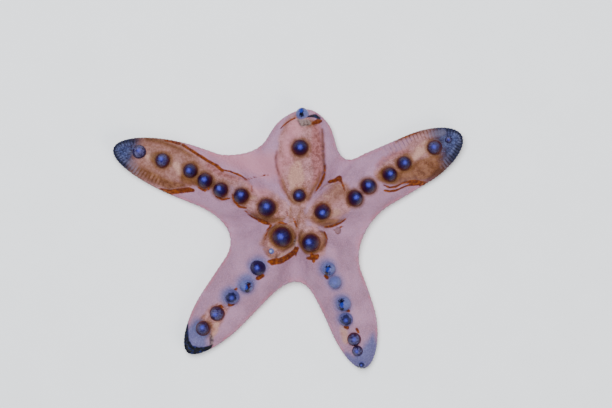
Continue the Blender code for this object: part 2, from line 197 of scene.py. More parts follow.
LEFT_MARKS = (
    ("tan", (7, 0.5, 3), (13, 1, 8), (20, 1, 9.5), (27, 1.5, 7.5)),
    ("tan", (31, -4, 2.5), (37, -6, 2)),
    ("tan", (42, -5, 3.5), (51, -5, 3.5), (58, -3.5, 6.5), (66, -3, 9), (75, -1, 13.5), (84, 0, 17),
     (118, 0, 20)),
    ("cream", (27, -1, 1), (30, 0, 1)),
    ("cream", (74, 2, 1.5), (78, -2, 2)),
    ("cream", (92, -3, 1.2), (95, -1, 1.8)),
    ("flush", (31, -4, 1), (33, -7, 1.2)),
    ("flush", (34, -8.8, 0.8), (38, -8.6, 1.1), (44, -6.8, 1.7), (52, -6.4, 1.7), (60, -8.5, 1.5)),
    ("ochre", (9, 4.5, 1.2), (14, 8, 2), (20, 9, 1.8), (26, 9, 1.2)),
    ("ochre", (54, 1, 3), (60, 1.5, 4), (70, 4, 3.5)),
    ("ochre", (72, -10, 0.6), (80, -11.6, 1), (92, -12, 1.1), (100, -11, 1)),
    ("ochre", (70, 8, 1.6), (78, 11, 2.7), (88, 10, 3), (97, 8, 2.2)),
    ("ochre", (84, -1, 2), (92, -2, 3)),
    ("ochre", (8, 4, 1.4), (12, 7.2, 1.6)),
    ("rust", (14.6, 9.9, 0.5), (17, 10.3, 1.0), (21, 10.6, 0.8), (25.2, 10.5, 0.4), (30, 9, 0.25)),
    ("rust", (30, 7, 0.5), (34, 7.8, 0.6), (38, 6, 0.4), (40.5, 2.5, 0.4)),
    ("rust", (30.6, -3.4, 0.25), (31.4, -6.8, 0.35)),
    ("rust", (36.6, -8.2, 0.25), (34.3, -10.4, 0.3), (31.9, -12.6, 0.3), (28.7, -14.6, 0.28),
     (25.4, -16.2, 0.2)),
    ("rust", (36.8, -9.6, 0.3), (42, -9.9, 0.45), (46.8, -9.8, 0.4), (51.4, -9, 0.35)),
    ("rust", (51, -8.3, 0.6), (55, -10, 0.8), (62, -11, 0.7), (70, -12.7, 0.65), (79, -14.7, 0.6)),
    ("rust", (41.5, 5.5, 0.4), (45, 7.8, 0.6), (49, 7.4, 0.3)),
    ("rust", (54, 4, 0.4), (57, 6.8, 0.6), (61, 6.2, 0.3)),
    ("rust", (63.5, 9.2, 0.9), (66, 9.8, 1.4), (70, 11.8, 1.4), (76, 15, 1.3), (82, 15.6, 0.8)),
    ("rust", (81, -14.8, 0.5), (90, -14, 0.4)),
    ("warm", (64, -4, 4), (74, -3, 9), (84, -2, 13), (98, -1, 14)),
    ("blush", (26, -22, 8), (45, -17, 5), (62, -16, 3)),
    ("blush", (23, -5, 3), (28, -6, 2.5)),
    ("navy", (122, 1, 21), (122, 0.9, 21)),
    ("worn", (97, 9, 1.4), (103, 5.8, 2.2)),
    ("ribs", (84, 11.5, 1.5), (92, 10, 3), (100, 7, 5), (107, 3, 5), (110, -1, 3)),
)
LOW_LEFT_HORNS = (
    (13.8, 0.2, 6.0, 0.05), (24.1, 1.0, 1.8, 1.2), (36.9, 1.1, 4.7, -0.1), (49.3, 2.5, 4.4, 0.85),
    (60.1, 0.1, 4.6, 0.38), (73.5, -0.6, 4.7, 0.29), (85.8, -1.6, 4.5, 0.2),
)
LOW_LEFT_MARKS = (
    ("tan", (7, 1, 3.5), (14, 1, 8), (20, 1, 7), (25, 1.5, 3.6)),
    ("tan", (18, -7, 2), (24, -6, 2.5)),
    ("tan", (67, 0, 3.5), (75, -1, 6), (84, 0, 6.5)),
    ("cream", (78, 3, 1.5), (82, 4.5, 2), (86, 5.5, 1.2)),
    # this cream stroke is a painted highlight, a pale glint near the tip
    ("cream", (89.5, -5.5, 0.4), (90.5, -3.2, 1.2)),
    ("cream", (10, 8.6, 0.8), (15, 9.4, 1.0), (20, 8.6, 0.9), (25, 5.8, 0.8), (28, 2.5, 0.5)),
    ("cream", (21.5, 2, 1), (22, -2, 1)),
    ("ochre", (6.6, 1, 1.2), (8.8, 5.2, 2), (14, 7.2, 2.2), (18.6, 5.8, 1.7), (20, 2, 1.1), (19.4, -2.5, 1.2),
     (16, -6.8, 2.1), (11, -6.2, 2.1), (6.6, 1, 1.2)),
    ("umber", (11, -6.8, 0.3), (15.5, -8.6, 0.45), (19.4, -7.4, 0.4), (22.6, -4.6, 0.3), (24.4, -1.6, 0.3)),
    ("umber", (7, 0.5, 0.3), (7.6, 4.6, 0.5), (9.2, 6.9, 0.55), (12.4, 8.2, 0.4), (16.5, 7.6, 0.3)),
    ("ochre", (20, -8, 0.7), (24.5, -5.2, 0.7), (27.3, -0.5, 0.7), (27, 3.5, 0.5), (24, 4.6, 0.5)),
    ("rust", (13.4, 11.6, 0.6), (16.5, 12.1, 1.3), (21, 11, 1.4), (25.8, 8.8, 1.6), (29, 5.7, 1.8),
     (30.2, 3.6, 0.7)),
    ("umber", (26.6, 5.8, 0.9), (24.6, 5.4, 0.8), (22.6, 6.2, 0.5)),
    ("stain", (10.6, 7.4, 0.4), (14.4, 10.6, 0.4)),
    ("rust", (12, -9.1, 0.2), (16.2, -9.2, 0.35), (21.5, -6.6, 0.2)),
    ("rust", (6.2, -2.2, 0.3), (7.6, -5.2, 0.6), (8.8, -6.8, 0.3)),
    ("rust", (39.2, 6.4, 1.0), (42, 5.2, 1.2)),
    ("rust", (63.2, 3.6, 0.7), (65, 2, 1.0)),
    ("rust", (55, -0.8, 0.5), (56, -1.2, 0.6)),
    ("rust", (70.2, -2.9, 0.35), (68.9, -1.7, 0.8), (68.5, 0, 0.3)),
    ("umber", (69.4, -3.8, 0.3), (72.4, -5.6, 0.35), (76, -4.8, 0.3)),
    ("slate", (36, 0.5, 5.2), (37, 0, 5.2)),
    ("slate", (48, 1.8, 5.4), (50, 1.8, 5.4)),
    ("slate", (60.5, -1, 5.4), (61.5, -1.5, 5)),
    ("slate", (90, -2, 6), (97, -1, 9), (102, 0, 14)),
    ("slate", (86, -6, 2.5), (92, -4, 5)),
    ("ink", (91, 9, 0.6), (94.4, 8.2, 1.8), (98.6, 5, 2.8), (101.2, 0, 3.6), (99.2, -5.4, 2.8), (94.6, -9, 2),
     (90, -11, 0.8)),
    ("ochre", (81.6, -6.3, 0.5), (79.5, -5.8, 0.7)),
    ("stain", (86, 4.8, 0.8), (88, 7, 1.5), (90, 8.2, 1.2)),
)
LOW_RIGHT_HORNS = (
    (16.3, -1.6, 5.4, 0.05), (34.6, -0.7, 4.3, 0.85), (43.4, -1.0, 4.0, 1), (57.3, -1.5, 4.6, 0.8),
    (66.4, -3.6, 4.3, 0.38), (79.3, -2.7, 4.2, 0.3), (86.4, -2.7, 3.3, 0.32), (94.8, -2.0, 2.4, 0.38),
)
LOW_RIGHT_MARKS = (
    ("tan", (7, -1, 3), (14, 0, 7.5), (20, -1, 6.5)),
    ("ochre", (13, 7.2, 0.9), (16.6, 7.4, 1.5), (20.4, 4.8, 1.6), (22.6, 1, 1.3), (22.2, -3, 1.1)),
    ("ochre", (7.8, -2.2, 1.2), (10.8, -5, 2), (15, -7, 2), (20.6, -7, 1.4)),
    ("umber", (7.6, -1.4, 0.3), (9.6, -4.6, 0.6), (12.6, -6.6, 0.6), (16.8, -7.3, 0.4), (20.6, -5.6, 0.3)),
    ("umber", (12, 6.4, 0.3), (14.4, 8.6, 0.5), (17.4, 8.2, 0.5), (20.2, 5.8, 0.6), (22.2, 1.5, 0.35)),
    ("rust", (14, 9, 0.25), (18, 8.2, 0.35), (21.8, 4.5, 0.25)),
    ("rust", (23.8, -8.6, 0.6), (25, -6, 1.4), (25.6, -3.6, 1.5), (25.2, -2, 0.7)),
    ("rust", (22.4, -5, 0.7), (25.4, -5.6, 1.4), (27, -6.2, 0.9)),
    ("rust", (15.5, -11, 0.35), (20, -13.6, 0.3)),
    ("rust", (38, -4.6, 0.7), (39.4, -4, 0.8)),
    ("rust", (61.8, -1.2, 0.8), (62.8, -0.4, 0.7)),
    ("rust", (70.6, -5.6, 0.9), (71.6, -4.6, 0.9)),
    ("rust", (74.6, 0.6, 0.7), (76.6, 1, 0.5)),
    ("slate", (34, -0.9, 4.7), (35, -1.2, 4.7)),
    ("slate", (43, -1, 4.2), (44, -1, 4.2)),
    ("slate", (56.5, -2.2, 4.7), (58, -2.4, 4.7)),
    ("slate", (65.5, -4.4, 3.9), (66.5, -4.4, 3.9)),
    ("slate", (82, 9, 0.5), (89, 6, 5), (98, 0, 12)),
    ("slate", (86, -10, 1), (95, -6, 6)),
    ("cream", (70, -7, 2), (78, -8, 2)),
    ("ink", (95.6, -5.4, 0.8), (97.4, -3.8, 1.2), (98.2, -1.8, 1.1)),
)
# name, heading, reach, waist, waist_half, tip_half, tip_share, bow, lift, blunt, horns, marks
ARMS = (
    Arm("right", 26.6, 0.1102, 0.054, 0.0175, 0.0140, 0.27, -0.0007, 0.004, 1.0, RIGHT_HORNS, RIGHT_MARKS),
    Arm("top", 84.5, 0.0656, 0.045, 0.0215, 0.0122, 0.19, 0.0020, 0.0, 1.35, TOP_HORNS, TOP_MARKS),
    Arm("left", 159.0, 0.1172, 0.058, 0.0170, 0.0156, 0.40, -0.0023, 0.004, 1.0, LEFT_HORNS, LEFT_MARKS),
    Arm("low_left", -129.2, 0.1036, 0.046, 0.0181, 0.0128, 0.33, -0.0005, 0.002, 1.0,
        LOW_LEFT_HORNS, LOW_LEFT_MARKS),
    Arm("low_right", -65.3, 0.0985, 0.046, 0.0162, 0.0132, 0.31, 0.0057, 0.001, 1.0,
        LOW_RIGHT_HORNS, LOW_RIGHT_MARKS),
)
NOTCH_HANDLES = (            # of the margin's curve between each arm and the next, in metres
    (0.0035, 0.0130), (0.0105, 0.0040), (0.0168, 0.0156), (0.0141, 0.0130), (0.0156, 0.0160),
)
low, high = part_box("mouth")
CENTRE = np.array([(low.x + high.x) / 2, (low.y + high.y) / 2])     # middle of the disc, in plan


def smooth(x):
    """0 below 0 and 1 above 1, with level ends."""
    x = np.clip(x, 0, 1)
    return x * x * (3 - 2 * x)


def mix(a, b, share):
    """From a at share 0 to b at share 1."""
    return a + (b - a) * share


def direction(degrees):
    """The unit vector in plan at an angle from the x axis."""
    angle = math.radians(degrees)
    return np.array([math.cos(angle), math.sin(angle)])


def left_of(heading):
    """A plan vector turned a quarter to the left."""
    return np.array([-heading[1], heading[0]])


def middle(arm, s):
    """Plan points of an arm's middle line: a straight heading with a parabolic bow."""
    along = direction(arm.heading)
    share = s / arm.reach
    return s[..., None] * along + (arm.bow * 4 * share * (1 - share))[..., None] * left_of(along)


def half_width(arm, s):
    """A straight taper from the waist, closed by a quarter ellipse."""
    taper = mix(arm.waist_half, arm.tip_half, (s - arm.waist) / (arm.reach - arm.waist))
    start = arm.reach * (1 - arm.tip_share)
    x = np.clip((s - start) / (arm.reach - start), 0, 1)
    return taper * np.sqrt(1 - x * x)


def flank(arm, side, s):
    """Plan points of the margin: side 1 on the left of the arm, -1 on its right."""
    return middle(arm, s) + side * half_width(arm, s)[:, None] * left_of(direction(arm.heading))


def notch(index, t):
    """Plan points of the margin between arm index and the next one: a cubic from flank to flank."""
    corners = []
    for step, side, handle in zip((0, 1), (1, -1), NOTCH_HANDLES[index]):
        arm = ARMS[(index + step) % len(ARMS)]
        here, ahead = flank(arm, side, np.array([arm.waist, arm.waist + MM]))
        corners += [here, here - (ahead - here) / MM * handle]
    a, b, d, c = corners
    t = t[:, None]
    return (1 - t) ** 3 * a + 3 * (1 - t) ** 2 * t * b + 3 * (1 - t) * t * t * c + t**3 * d


def crest_height(arm, s):
    """Falls from disc to tip along half a cosine, with a swell under the first horns."""
    share = np.clip(s / (arm.reach - CREST_INSET), 0, 1)
    fall = (1 - np.cos(np.pi * share**CREST_FALL)) / 2
    swell = SWELL * np.exp(-(((s - SWELL_AT) / SWELL_WIDTH) ** 2))
    return mix(CENTRE_HEIGHT, TIP_HEIGHT * arm.blunt, fall) + swell


def groove_size(arm, s, slant=1.0):
    """Half width and depth of the groove below, both grown into the mouth near the centre; slant is the
    cosine between a rib and the arm's own cross line."""
    share = s / arm.reach
    at_mouth = np.exp(-((s / MOUTH_SPREAD) ** 2))
    half = mix(mix(GROOVE_HALF, GROOVE_TIP_HALF, smooth(share)) / slant, MOUTH_RADIUS, at_mouth)
    return half, mix(mix(GROOVE_DEPTH, GROOVE_TIP_DEPTH, share), MOUTH_DEPTH, at_mouth)


def tip_lift(arm, share):
    """How far the curled end of an arm is raised at a share of its reach."""
    return arm.lift * np.clip((share - LIFT_FROM) / (1 - LIFT_FROM), 0, 1) ** 2


def stations(index, side):
    """The ribs of one half arm, from the middle of the notch to the arm's point: their distance along
    the arm, their inner and outer ends in plan, and how much each belongs to the disc."""
    arm = ARMS[index]
    start = max(arm.reach * (1 - arm.tip_share), arm.waist + 2 * MM)
    q = np.linspace(0, 1, NOTCH_RIBS)
    s_flank = np.linspace(arm.waist, start, max(3, round((start - arm.waist) / FLANK_STEP)))[1:]
    tip_steps = round((arm.reach - start) * TIP_CURVE / TIP_STEP) + TIP_EXTRA_RIBS
    turn = np.sin(np.linspace(0, np.pi / 2, tip_steps))[1:]
    s_crest = start + (arm.reach - CREST_INSET - start) * turn
    between = index if side > 0 else (index - 1) % len(ARMS)
    margin = np.concatenate([
        notch(between, 0.5 - 0.5 * side * q),
        flank(arm, side, s_flank),
        flank(arm, side, start + (arm.reach - start) * turn),
    ])
    s = np.concatenate([arm.waist * q * q, s_flank, s_crest])
    disc_like = np.concatenate([(1 + np.cos(np.pi * q)) / 2, np.zeros(len(s_flank) + len(s_crest))])
    return s, middle(arm, s), margin, disc_like


def half_arm(index, side):
    """Points of one half arm as stations x points of a rib, each rib going from the crest over the
    margin to the groove, with the fields that the relief and the colours follow.

    At share a of the way from crest to shoulder, the roof stands over the shoulder by (1 - a^1.9)^0.9
    of the crest's height over it on an arm, and by ((1 + cos(pi a)) / 2)^0.75 of it on the disc. The
    wall is half an ellipse, a flat rim leads to a hollow sole, and a groove runs along the middle below.

    lie is 0 to 1 from crest to shoulder, to 2 down the wall, to 3 over the rim and the sole, and to 4 up
    into the groove. rows counts the plates along the margin from the middle of the notch. unwrap_u and
    unwrap_v lay the ten half arms out as strips of a unit square.
    """
    arm = ARMS[index]
    along = direction(arm.heading)
    s, inner, outer, disc_like = stations(index, side)
    span = (outer - inner)[:, None]
    length = np.linalg.norm(span, axis=2)
    s = s[:, None]
    slant = np.where(s < arm.waist, np.abs(span @ left_of(along)) / length, 1.0).clip(0.5, 1)
    share = s / arm.reach
    crest = crest_height(arm, s)
    edge = mix(EDGE_HEIGHT, EDGE_TIP_HEIGHT * arm.blunt, smooth(share))
    shoulder = 1 - EDGE_BULGE / length

    t = np.linspace(0, 1, ROOF_STEPS + 1)
    a = np.sin(t * np.pi / 2) ** ROOF_SPACING
    arm_form, disc_form = (1 - a**ARM_ROUND) ** ARM_FULLNESS, ((1 + np.cos(np.pi * a)) / 2) ** DISC_FULLNESS
    roof = shoulder * a, edge + (crest - edge) * mix(arm_form, disc_form, disc_like[:, None])
    turn = np.linspace(0, np.pi, WALL_STEPS + 1)[1:]
    wall = shoulder + (1 - shoulder) * np.sin(turn), edge * (1 + np.cos(turn)) / 2
    rim_t = np.linspace(0, 1, RIM_STEPS + 1)[1:]
    rim = mix(shoulder, FLAT_INNER, rim_t), 0 * shoulder * rim_t
    half, depth = groove_size(arm, s, slant)
    lip = half / length
    inward = np.linspace(0, 1, SOLE_STEPS + 1)[1:]
    sole = mix(FLAT_INNER, lip, inward), SOLE_HOLLOW * smooth(inward) + 0 * lip
    up = np.linspace(0, 1, GROOVE_STEPS + 1)[1:]
    groove = lip * (1 - up**GROOVE_WALL), mix(SOLE_HOLLOW, depth, up**GROOVE_VAULT)
    out = np.concatenate([part[0] for part in (roof, wall, rim, sole, groove)], 1)
    height = np.concatenate([part[1] for part in (roof, wall, rim, sole, groove)], 1)
    plan = inner[:, None] + out[..., None] * span
    height += tip_lift(arm, plan @ along / arm.reach)
    dome = np.exp(-((np.linalg.norm(plan, axis=2) / DOME_RADIUS) ** 2))
    dome[:, ROOF_STEPS + 1:] = 0
    points = np.concatenate([plan, mix(height, CENTRE_HEIGHT, dome)[..., None]], 2)

    sole_lie = 2 + RIM_LIE + inward * (1 - RIM_LIE)
    lie = np.concatenate([t, 1 + turn / np.pi, 2 + rim_t * RIM_LIE, sole_lie, 3 + up])
    step = np.linalg.norm(np.diff(outer, axis=0), axis=1)
    plate = mix(PLATE_LENGTH, PLATE_TIP_LENGTH, smooth((share[:, 0] - 0.45) / 0.4))
    rows = np.concatenate([[0], np.cumsum(step / ((plate[1:] + plate[:-1]) / 2))])
    fields = {
        "lie": lie,
        "rows": rows[:, None],
        "along": share,
        "unwrap_u": np.linspace(0.01, 0.99, len(s))[:, None],
        "unwrap_v": (2 * index + (side < 0) + 0.05 + 0.9 * lie / 4) / (2 * len(ARMS)),
    }
    return points, {key: np.broadcast_to(value, out.shape) for key, value in fields.items()}


def welded(grids):
    """Points, quads and fields of several (grid, fields, whether it faces the other way), with the
    points on their shared borders made one."""
    points, faces, fields, start = [], [], {}, 0
    for grid, own, flip in grids:
        rows, columns = grid.shape[:2]
        number = start + np.arange(rows * columns).reshape(rows, columns)
        corners = number[:-1, :-1], number[:-1, 1:], number[1:, 1:], number[1:, :-1]
        quads = np.stack(corners, -1).reshape(-1, 4)
        faces.append(quads[:, ::-1] if flip else quads)
        points.append(grid.reshape(-1, 3))
        for key, value in own.items():
            fields.setdefault(key, []).append(np.asarray(value, float).reshape(-1))
        start += rows * columns
    points, faces = np.concatenate(points), np.concatenate(faces)
    snapped = np.round(points / WELD).astype(np.int64)
    _, first, index = np.unique(snapped, axis=0, return_index=True, return_inverse=True)
    fields = {key: np.concatenate(value)[first] for key, value in fields.items()}
    return points[first], index.reshape(-1)[faces], fields


def vertex_normals(points, faces):
    """Area-weighted normals of the vertices."""
    across = np.cross(points[faces[:, 2]] - points[faces[:, 0]], points[faces[:, 3]] - points[faces[:, 1]])
    total = np.zeros_like(points)
    for corner in range(4):
        for axis in range(3):
            total[:, axis] += np.bincount(faces[:, corner], across[:, axis], len(points))
    return total / np.maximum(np.linalg.norm(total, axis=1, keepdims=True), 1e-12)


def cells(x, y, size, seed, repeat=64):
    """Distances to the nearest and to the second nearest of points jittered on a square lattice."""
    table = np.random.default_rng(seed).random((repeat, repeat, 2))
    ix, iy = np.floor(x / size).astype(int), np.floor(y / size).astype(int)
    found = []
    for dx in (-1, 0, 1):
        for dy in (-1, 0, 1):
            jitter = table[(ix + dx) % repeat, (iy + dy) % repeat]
            cx, cy = (ix + dx + jitter[..., 0]) * size, (iy + dy + jitter[..., 1]) * size
            found.append(np.hypot(cx - x, cy - y))
    found = np.sort(np.array(found), axis=0)
    return found[0], found[1]


def mesh_object(name, points, faces, material, fields=None, bake_map=None):
    """A named mesh piece with its fields as attributes of its points; a quad whose corners meet
    becomes a triangle, and points without a face are dropped. bake_map gives each point's place on
    the map that colours are baked to."""
    used, faces = np.unique(faces, return_inverse=True)
    points, faces = points[used], faces.reshape(-1, 4)
    repeated = faces == np.roll(faces, 1, 1)
    quads = faces[repeated.sum(1) == 0]
    thin = repeated.sum(1) == 1
    triangles = faces[thin][~repeated[thin]].reshape(-1, 3)
    mesh = bpy.data.meshes.new(name)
    mesh.from_pydata(points.tolist(), [], quads.tolist() + triangles.tolist())
    for key, value in (fields or {}).items():
        mesh.attributes.new(key, "FLOAT", "POINT").data.foreach_set("value", value[used].astype(np.float32))
    if bake_map is not None:
        corner = np.empty(len(mesh.loops), np.int32)
        mesh.loops.foreach_get("vertex_index", corner)
        places = bake_map[used][corner].astype(np.float32)
        mesh.uv_layers.new(name="OFBake").uv.foreach_set("vector", places.ravel())
    mesh.materials.append(material)
    mesh.shade_smooth()
    mesh.update()
    obj = bpy.data.objects.new(name, mesh)
    bpy.context.collection.objects.link(obj)
    return obj


def round_quads(number, poles):
    """Quads between the rings of numbered points, rings being the last axis but one and closed round
    the last; the rings in poles are one point each."""
    number[..., poles, :] = number[..., poles, :1]
    beside = np.roll(number, -1, -1)
    corners = number[..., :-1, :], beside[..., :-1, :], beside[..., 1:, :], number[..., 1:, :]
    return np.stack(corners, -1).reshape(-1, 4)


def turned(radius, height, base, axis):
    """A surface turned about an axis from rings x sides of radii and heights; rings of no radius are
    one point."""
    turn = np.array(Vector((0, 0, 1)).rotation_difference(Vector(axis)).to_matrix())
    angle = np.arange(radius.shape[1]) * 2 * np.pi / radius.shape[1]
    height = np.broadcast_to(height, radius.shape)
    ring = np.stack([radius * np.cos(angle), radius * np.sin(angle), height], -1)
    number = np.arange(radius.size).reshape(radius.shape)
    return ring.reshape(-1, 3) @ turn.T + np.array(base), round_quads(number, radius.max(1) == 0)


def tubes(start, end, radius, profile, sides):
    """Points and quads of closed tubes, one round each line from start to end: ring k of each lies at
    profile[k, 0] of the way and has profile[k, 1] of the radius; rings of no radius are one point."""
    along = (end - start) / np.linalg.norm(end - start, axis=1, keepdims=True)
    helper = np.where(np.abs(along[:, 2:]) < 0.9, [[0.0, 0.0, 1.0]], [[1.0, 0.0, 0.0]])
    across = np.cross(along, helper)
    across /= np.linalg.norm(across, axis=1, keepdims=True)
    third = np.cross(along, across)
    angle = np.arange(sides)[:, None] * 2 * np.pi / sides
    ring = np.cos(angle) * across[:, None] + np.sin(angle) * third[:, None]
    way = start[:, None] + (end - start)[:, None] * profile[:, :1]
    wide = radius[:, None, None, None] * profile[:, 1:, None]
    points = way[:, :, None] + wide * ring[:, None]
    number = np.arange(points.size // 3).reshape(points.shape[:3])
    return points.reshape(-1, 3), round_quads(number, profile[:, 1] == 0)


# ---------------------------------------------------------------- shader arithmetic

STUDIO_LIGHT, STUDIO_SHEEN = 2.1, 0.016      # light on a level surface over its base colour, and its gloss
VIEW_DULLING = 1.35                          # how strongly the view transform dulls bright values


class Number:
    """A socket that takes part in Python arithmetic by adding Math nodes."""

    def __init__(self, paint, socket):
        self.paint, self.socket = paint, socket

    def math(self, operation, *others):
        values = dict(enumerate((self, *others)))
        return self.paint.node("ShaderNodeMath", {"operation": operation}, values)

    def __add__(self, other):
        return self.math("ADD", other)

    __radd__ = __add__

    def __mul__(self, other):
        return self.math("MULTIPLY", other)

    __rmul__ = __mul__

    def __sub__(self, other):
        return self.math("SUBTRACT", other)

    def __rsub__(self, other):
        return self * -1 + other

    def __abs__(self):
        return self.math("ABSOLUTE")

    def frac(self):
        return self.math("FRACT")

    def most(self, other):
        return self.math("MAXIMUM", other)

    def step(self, start, end):
        """0 at start and 1 at end, with level ends; start may be above end."""
        swap = start > end
        values = {0: self, 1: min(start, end), 2: max(start, end), 3: float(swap), 4: float(not swap)}
        return self.paint.node("ShaderNodeMapRange", {"interpolation_type": "SMOOTHSTEP"}, values)


def shown(colour):
    """The base colour that comes out as three eight-bit display values under the studio's light: the
    linear value raised where the view transform would dull it, less the sheen, over the light."""
    channel = np.array(colour) / 255
    linear = np.where(channel <= 0.04045, channel / 12.92, ((channel + 0.055) / 1.055) ** 2.4)
    needed = linear / (1 - VIEW_DULLING * linear**2) - STUDIO_SHEEN
    return (*(needed / STUDIO_LIGHT).clip(0.002, 0.9).tolist(), 1.0)


class Paint:
    """A material with one method that adds any node."""

    def __init__(self, name, **constants):
        self.material = bpy.data.materials.new(name)
        self.material.use_nodes = True
        self.tree = self.material.node_tree
        self.shader = self.tree.nodes["Principled BSDF"]
        for key, value in constants.items():
            self.shader.inputs[key.replace("_", " ")].default_value = value
        self.place = self.node("ShaderNodeTexCoord", {}, {}, "Object")

    def node(self, kind, settings, values, out=0):
        """A new node with settings and with values or links on its inputs; gives one of its outputs."""
        node = self.tree.nodes.new(kind)
        for key, value in settings.items():
            setattr(node, key, value)
        for key, value in values.items():
            socket = node.inputs[key]
            if isinstance(value, Number):
                self.tree.links.new(value.socket, socket)
            else:
                socket.default_value = value
        return Number(self, node.outputs[out])

    def field(self, name):
        """A field of the piece's points."""
        return self.node("ShaderNodeAttribute", {"attribute_name": name}, {}, "Fac")

    def noise(self, size, detail=3.0, rough=0.5):
        """Cloudy noise from 0 to 1 with features of about a size in metres."""
        values = {"Vector": self.place, "Scale": 1 / size, "Detail": detail, "Roughness": rough}
        return self.node("ShaderNodeTexNoise", {}, values, 0)

    def grains(self, size):
        """Distance to the nearest of scattered points about a size apart, in units of that size."""
        values = {"Vector": self.place, "Scale": 1 / size}
        return self.node("ShaderNodeTexVoronoi", {"feature": "F1"}, values, "Distance")

    def mix(self, factor, *colours):
        """From the first colour at factor 0 to the second at 1; a tuple is a colour as it is to be shown."""
        a, b = (shown(colour) if isinstance(colour, tuple) else colour for colour in colours)
        return self.node("ShaderNodeMix", {"data_type": "RGBA"}, {0: factor, 6: a, 7: b}, 2)

    def bump(self, height, depth, after=None):
        values = {"Height": height, "Distance": depth, "Strength": 1.0}
        if after:
            values["Normal"] = after
        return self.node("ShaderNodeBump", {}, values)

    def set(self, **sockets):
        for key, value in sockets.items():
            self.tree.links.new(value.socket, self.shader.inputs[key.replace("_", " ")])
        return self.material


# ---------------------------------------------------------------- the skin

BARE = 0.29                  # paleness from which a horn has no brown collar
ROOF_LEVEL, SOLE_LEVEL = 0.38, 0.68                       # mm over the relief's lowest level, and below
PLATE_RISE, SOLE_PLATE_RISE, PLEAT_RISE, BLOCK_RISE = 0.17, 0.12, 0.26, 0.42
CUSHION_RISE, COLLAR_RISE, CREASE_DEPTH = 0.2, 0.3, 0.3
UPPER_BLOCKS, LOWER_BLOCKS = (1.16, 0.29), (1.78, 0.33)   # middle and half height of the rows, as lies
PLATE_SIZE = 2.7 * MM


def horn_places():
    """(arm, number, plan point from the disc's centre, radius, paleness) of every horn."""
    places = []
    for arm in ARMS:
        across = left_of(direction(arm.heading))
        for number, (s, left, radius, pale) in enumerate(arm.horns):
            plan = middle(arm, np.array([s * MM]))[0] + left * MM * across
            places.append((arm, number, plan, radius * MM, pale))
    return places


def inside_marks(plan, colour):
    """Depth in millimetres inside the strokes of a colour, negative outside: each stroke is a chain
    of capsules whose half width changes evenly from point to point."""
    depth = np.full(len(plan), -FAR)
    for arm in ARMS:
        across = left_of(direction(arm.heading))
        for name, *stops in arm.marks:
            if name != colour:
                continue
            s, left, half = np.array(stops, float).T
            route = middle(arm, s * MM) + (left * MM)[:, None] * across
            for a, b, wide_a, wide_b in zip(route[:-1], route[1:], half[:-1], half[1:]):
                share = np.clip((plan - a) @ (b - a) / ((b - a) @ (b - a)), 0, 1)
                away = np.linalg.norm(plan - a - share[:, None] * (b - a), axis=1)
                depth = np.maximum(depth, mix(wide_a, wide_b, share) - away / MM)
    return depth


HORNS = horn_places()


def horn_gap(plan):
    """Distance in millimetres from the foot of the nearest horn that has a brown collar."""
    gap = np.full(len(plan), FAR)
    for _, _, spot, radius, pale in HORNS:
        if 0 <= pale < BARE:
            gap = np.minimum(gap, (np.linalg.norm(plan - spot, axis=1) - radius) / MM)
    return gap


def skin_relief(plan, fields, kept):
    """Height in millimetres of the skin over its lowest level: convex plates parted by grooves, two rows
    of blocks down the wall, pleats towards the tips, cushions under the brown fields, a collar
    round each horn that has a brown collar and a crease along each rust line."""
    lie, rows = fields["lie"], fields["rows"]
    roof = smooth((1.02 - lie) / 0.1)
    plates = smooth(kept["plate"]) - 0.6
    block = 1 - np.abs(2 * (rows % 1) - 1) ** 3
    near_tip = smooth((fields["along"] - 0.58) / 0.2)
    ribbed = smooth((np.maximum(kept["ribs"], kept["navy"]) + 3) / 3)
    pleats = (block - 0.6) * near_tip * smooth((lie - 0.3) / 0.3) * mix(0.3, 1, ribbed)
    wall = smooth((lie - 0.86) / 0.06) * smooth((2.16 - lie) / 0.1)
    high, low = (np.abs((lie - row) / half) for row, half in (UPPER_BLOCKS, LOWER_BLOCKS))
    level = np.where(lie < sum(UPPER_BLOCKS), high, low).clip(0, 1)
    blocks = block * (1 - level**4) - 0.55
    below = smooth((lie - 1.95) / 0.25)
    relief = ROOF_LEVEL + roof * (PLATE_RISE * plates + PLEAT_RISE * pleats)
    relief += roof * CUSHION_RISE * smooth((kept["ochre"] + 0.6) / 1.6)
    relief += roof * COLLAR_RISE * np.exp(-((kept["horn_gap"] - 0.5) / 0.8) ** 2)
    relief -= roof * CREASE_DEPTH * smooth((kept["rust"] + 0.5) / 0.7)
    relief += BLOCK_RISE * blocks * wall
    sole = SOLE_LEVEL + SOLE_PLATE_RISE * plates * smooth((3.1 - lie) / 0.1)
    return mix(relief, sole, below).clip(0, SKIN_DEPTH)


def build_skin(material):
    """The whole skin as one closed mesh: the solids' own surface drawn in by SKIN_DEPTH along its
    normals and raised again by the relief. Gives the piece, its points and faces, and its fields with
    the unwrap's."""
    grids = []
    for index in range(len(ARMS)):
        for side in (1, -1):
            grid, fields = half_arm(index, side)
            grids.append((grid, fields, side < 0))
    points, faces, fields = welded(grids)
    normals = vertex_normals(points, faces)
    if normals[np.argmax(points[:, 2]), 2] < 0:
        faces, normals = faces[:, ::-1], -normals
    plan = points[:, :2]
    kept = {colour: inside_marks(plan, colour) for colour in COLOURS}
    nearest, second = cells(plan[:, 0], plan[:, 1], PLATE_SIZE, 5)
    kept["plate"] = (second - nearest) / MM
    kept |= {"lie": fields["lie"], "rows": fields["rows"], "horn_gap": horn_gap(plan)}
    relief = skin_relief(plan, fields, kept)
    points = points + normals * ((relief - SKIN_DEPTH) * MM)[:, None]
    points[:, :2] += CENTRE
    piece = mesh_object("skin", points, faces, material, kept)
    return piece, points, faces, kept | {key: fields[key] for key in UNWRAP}


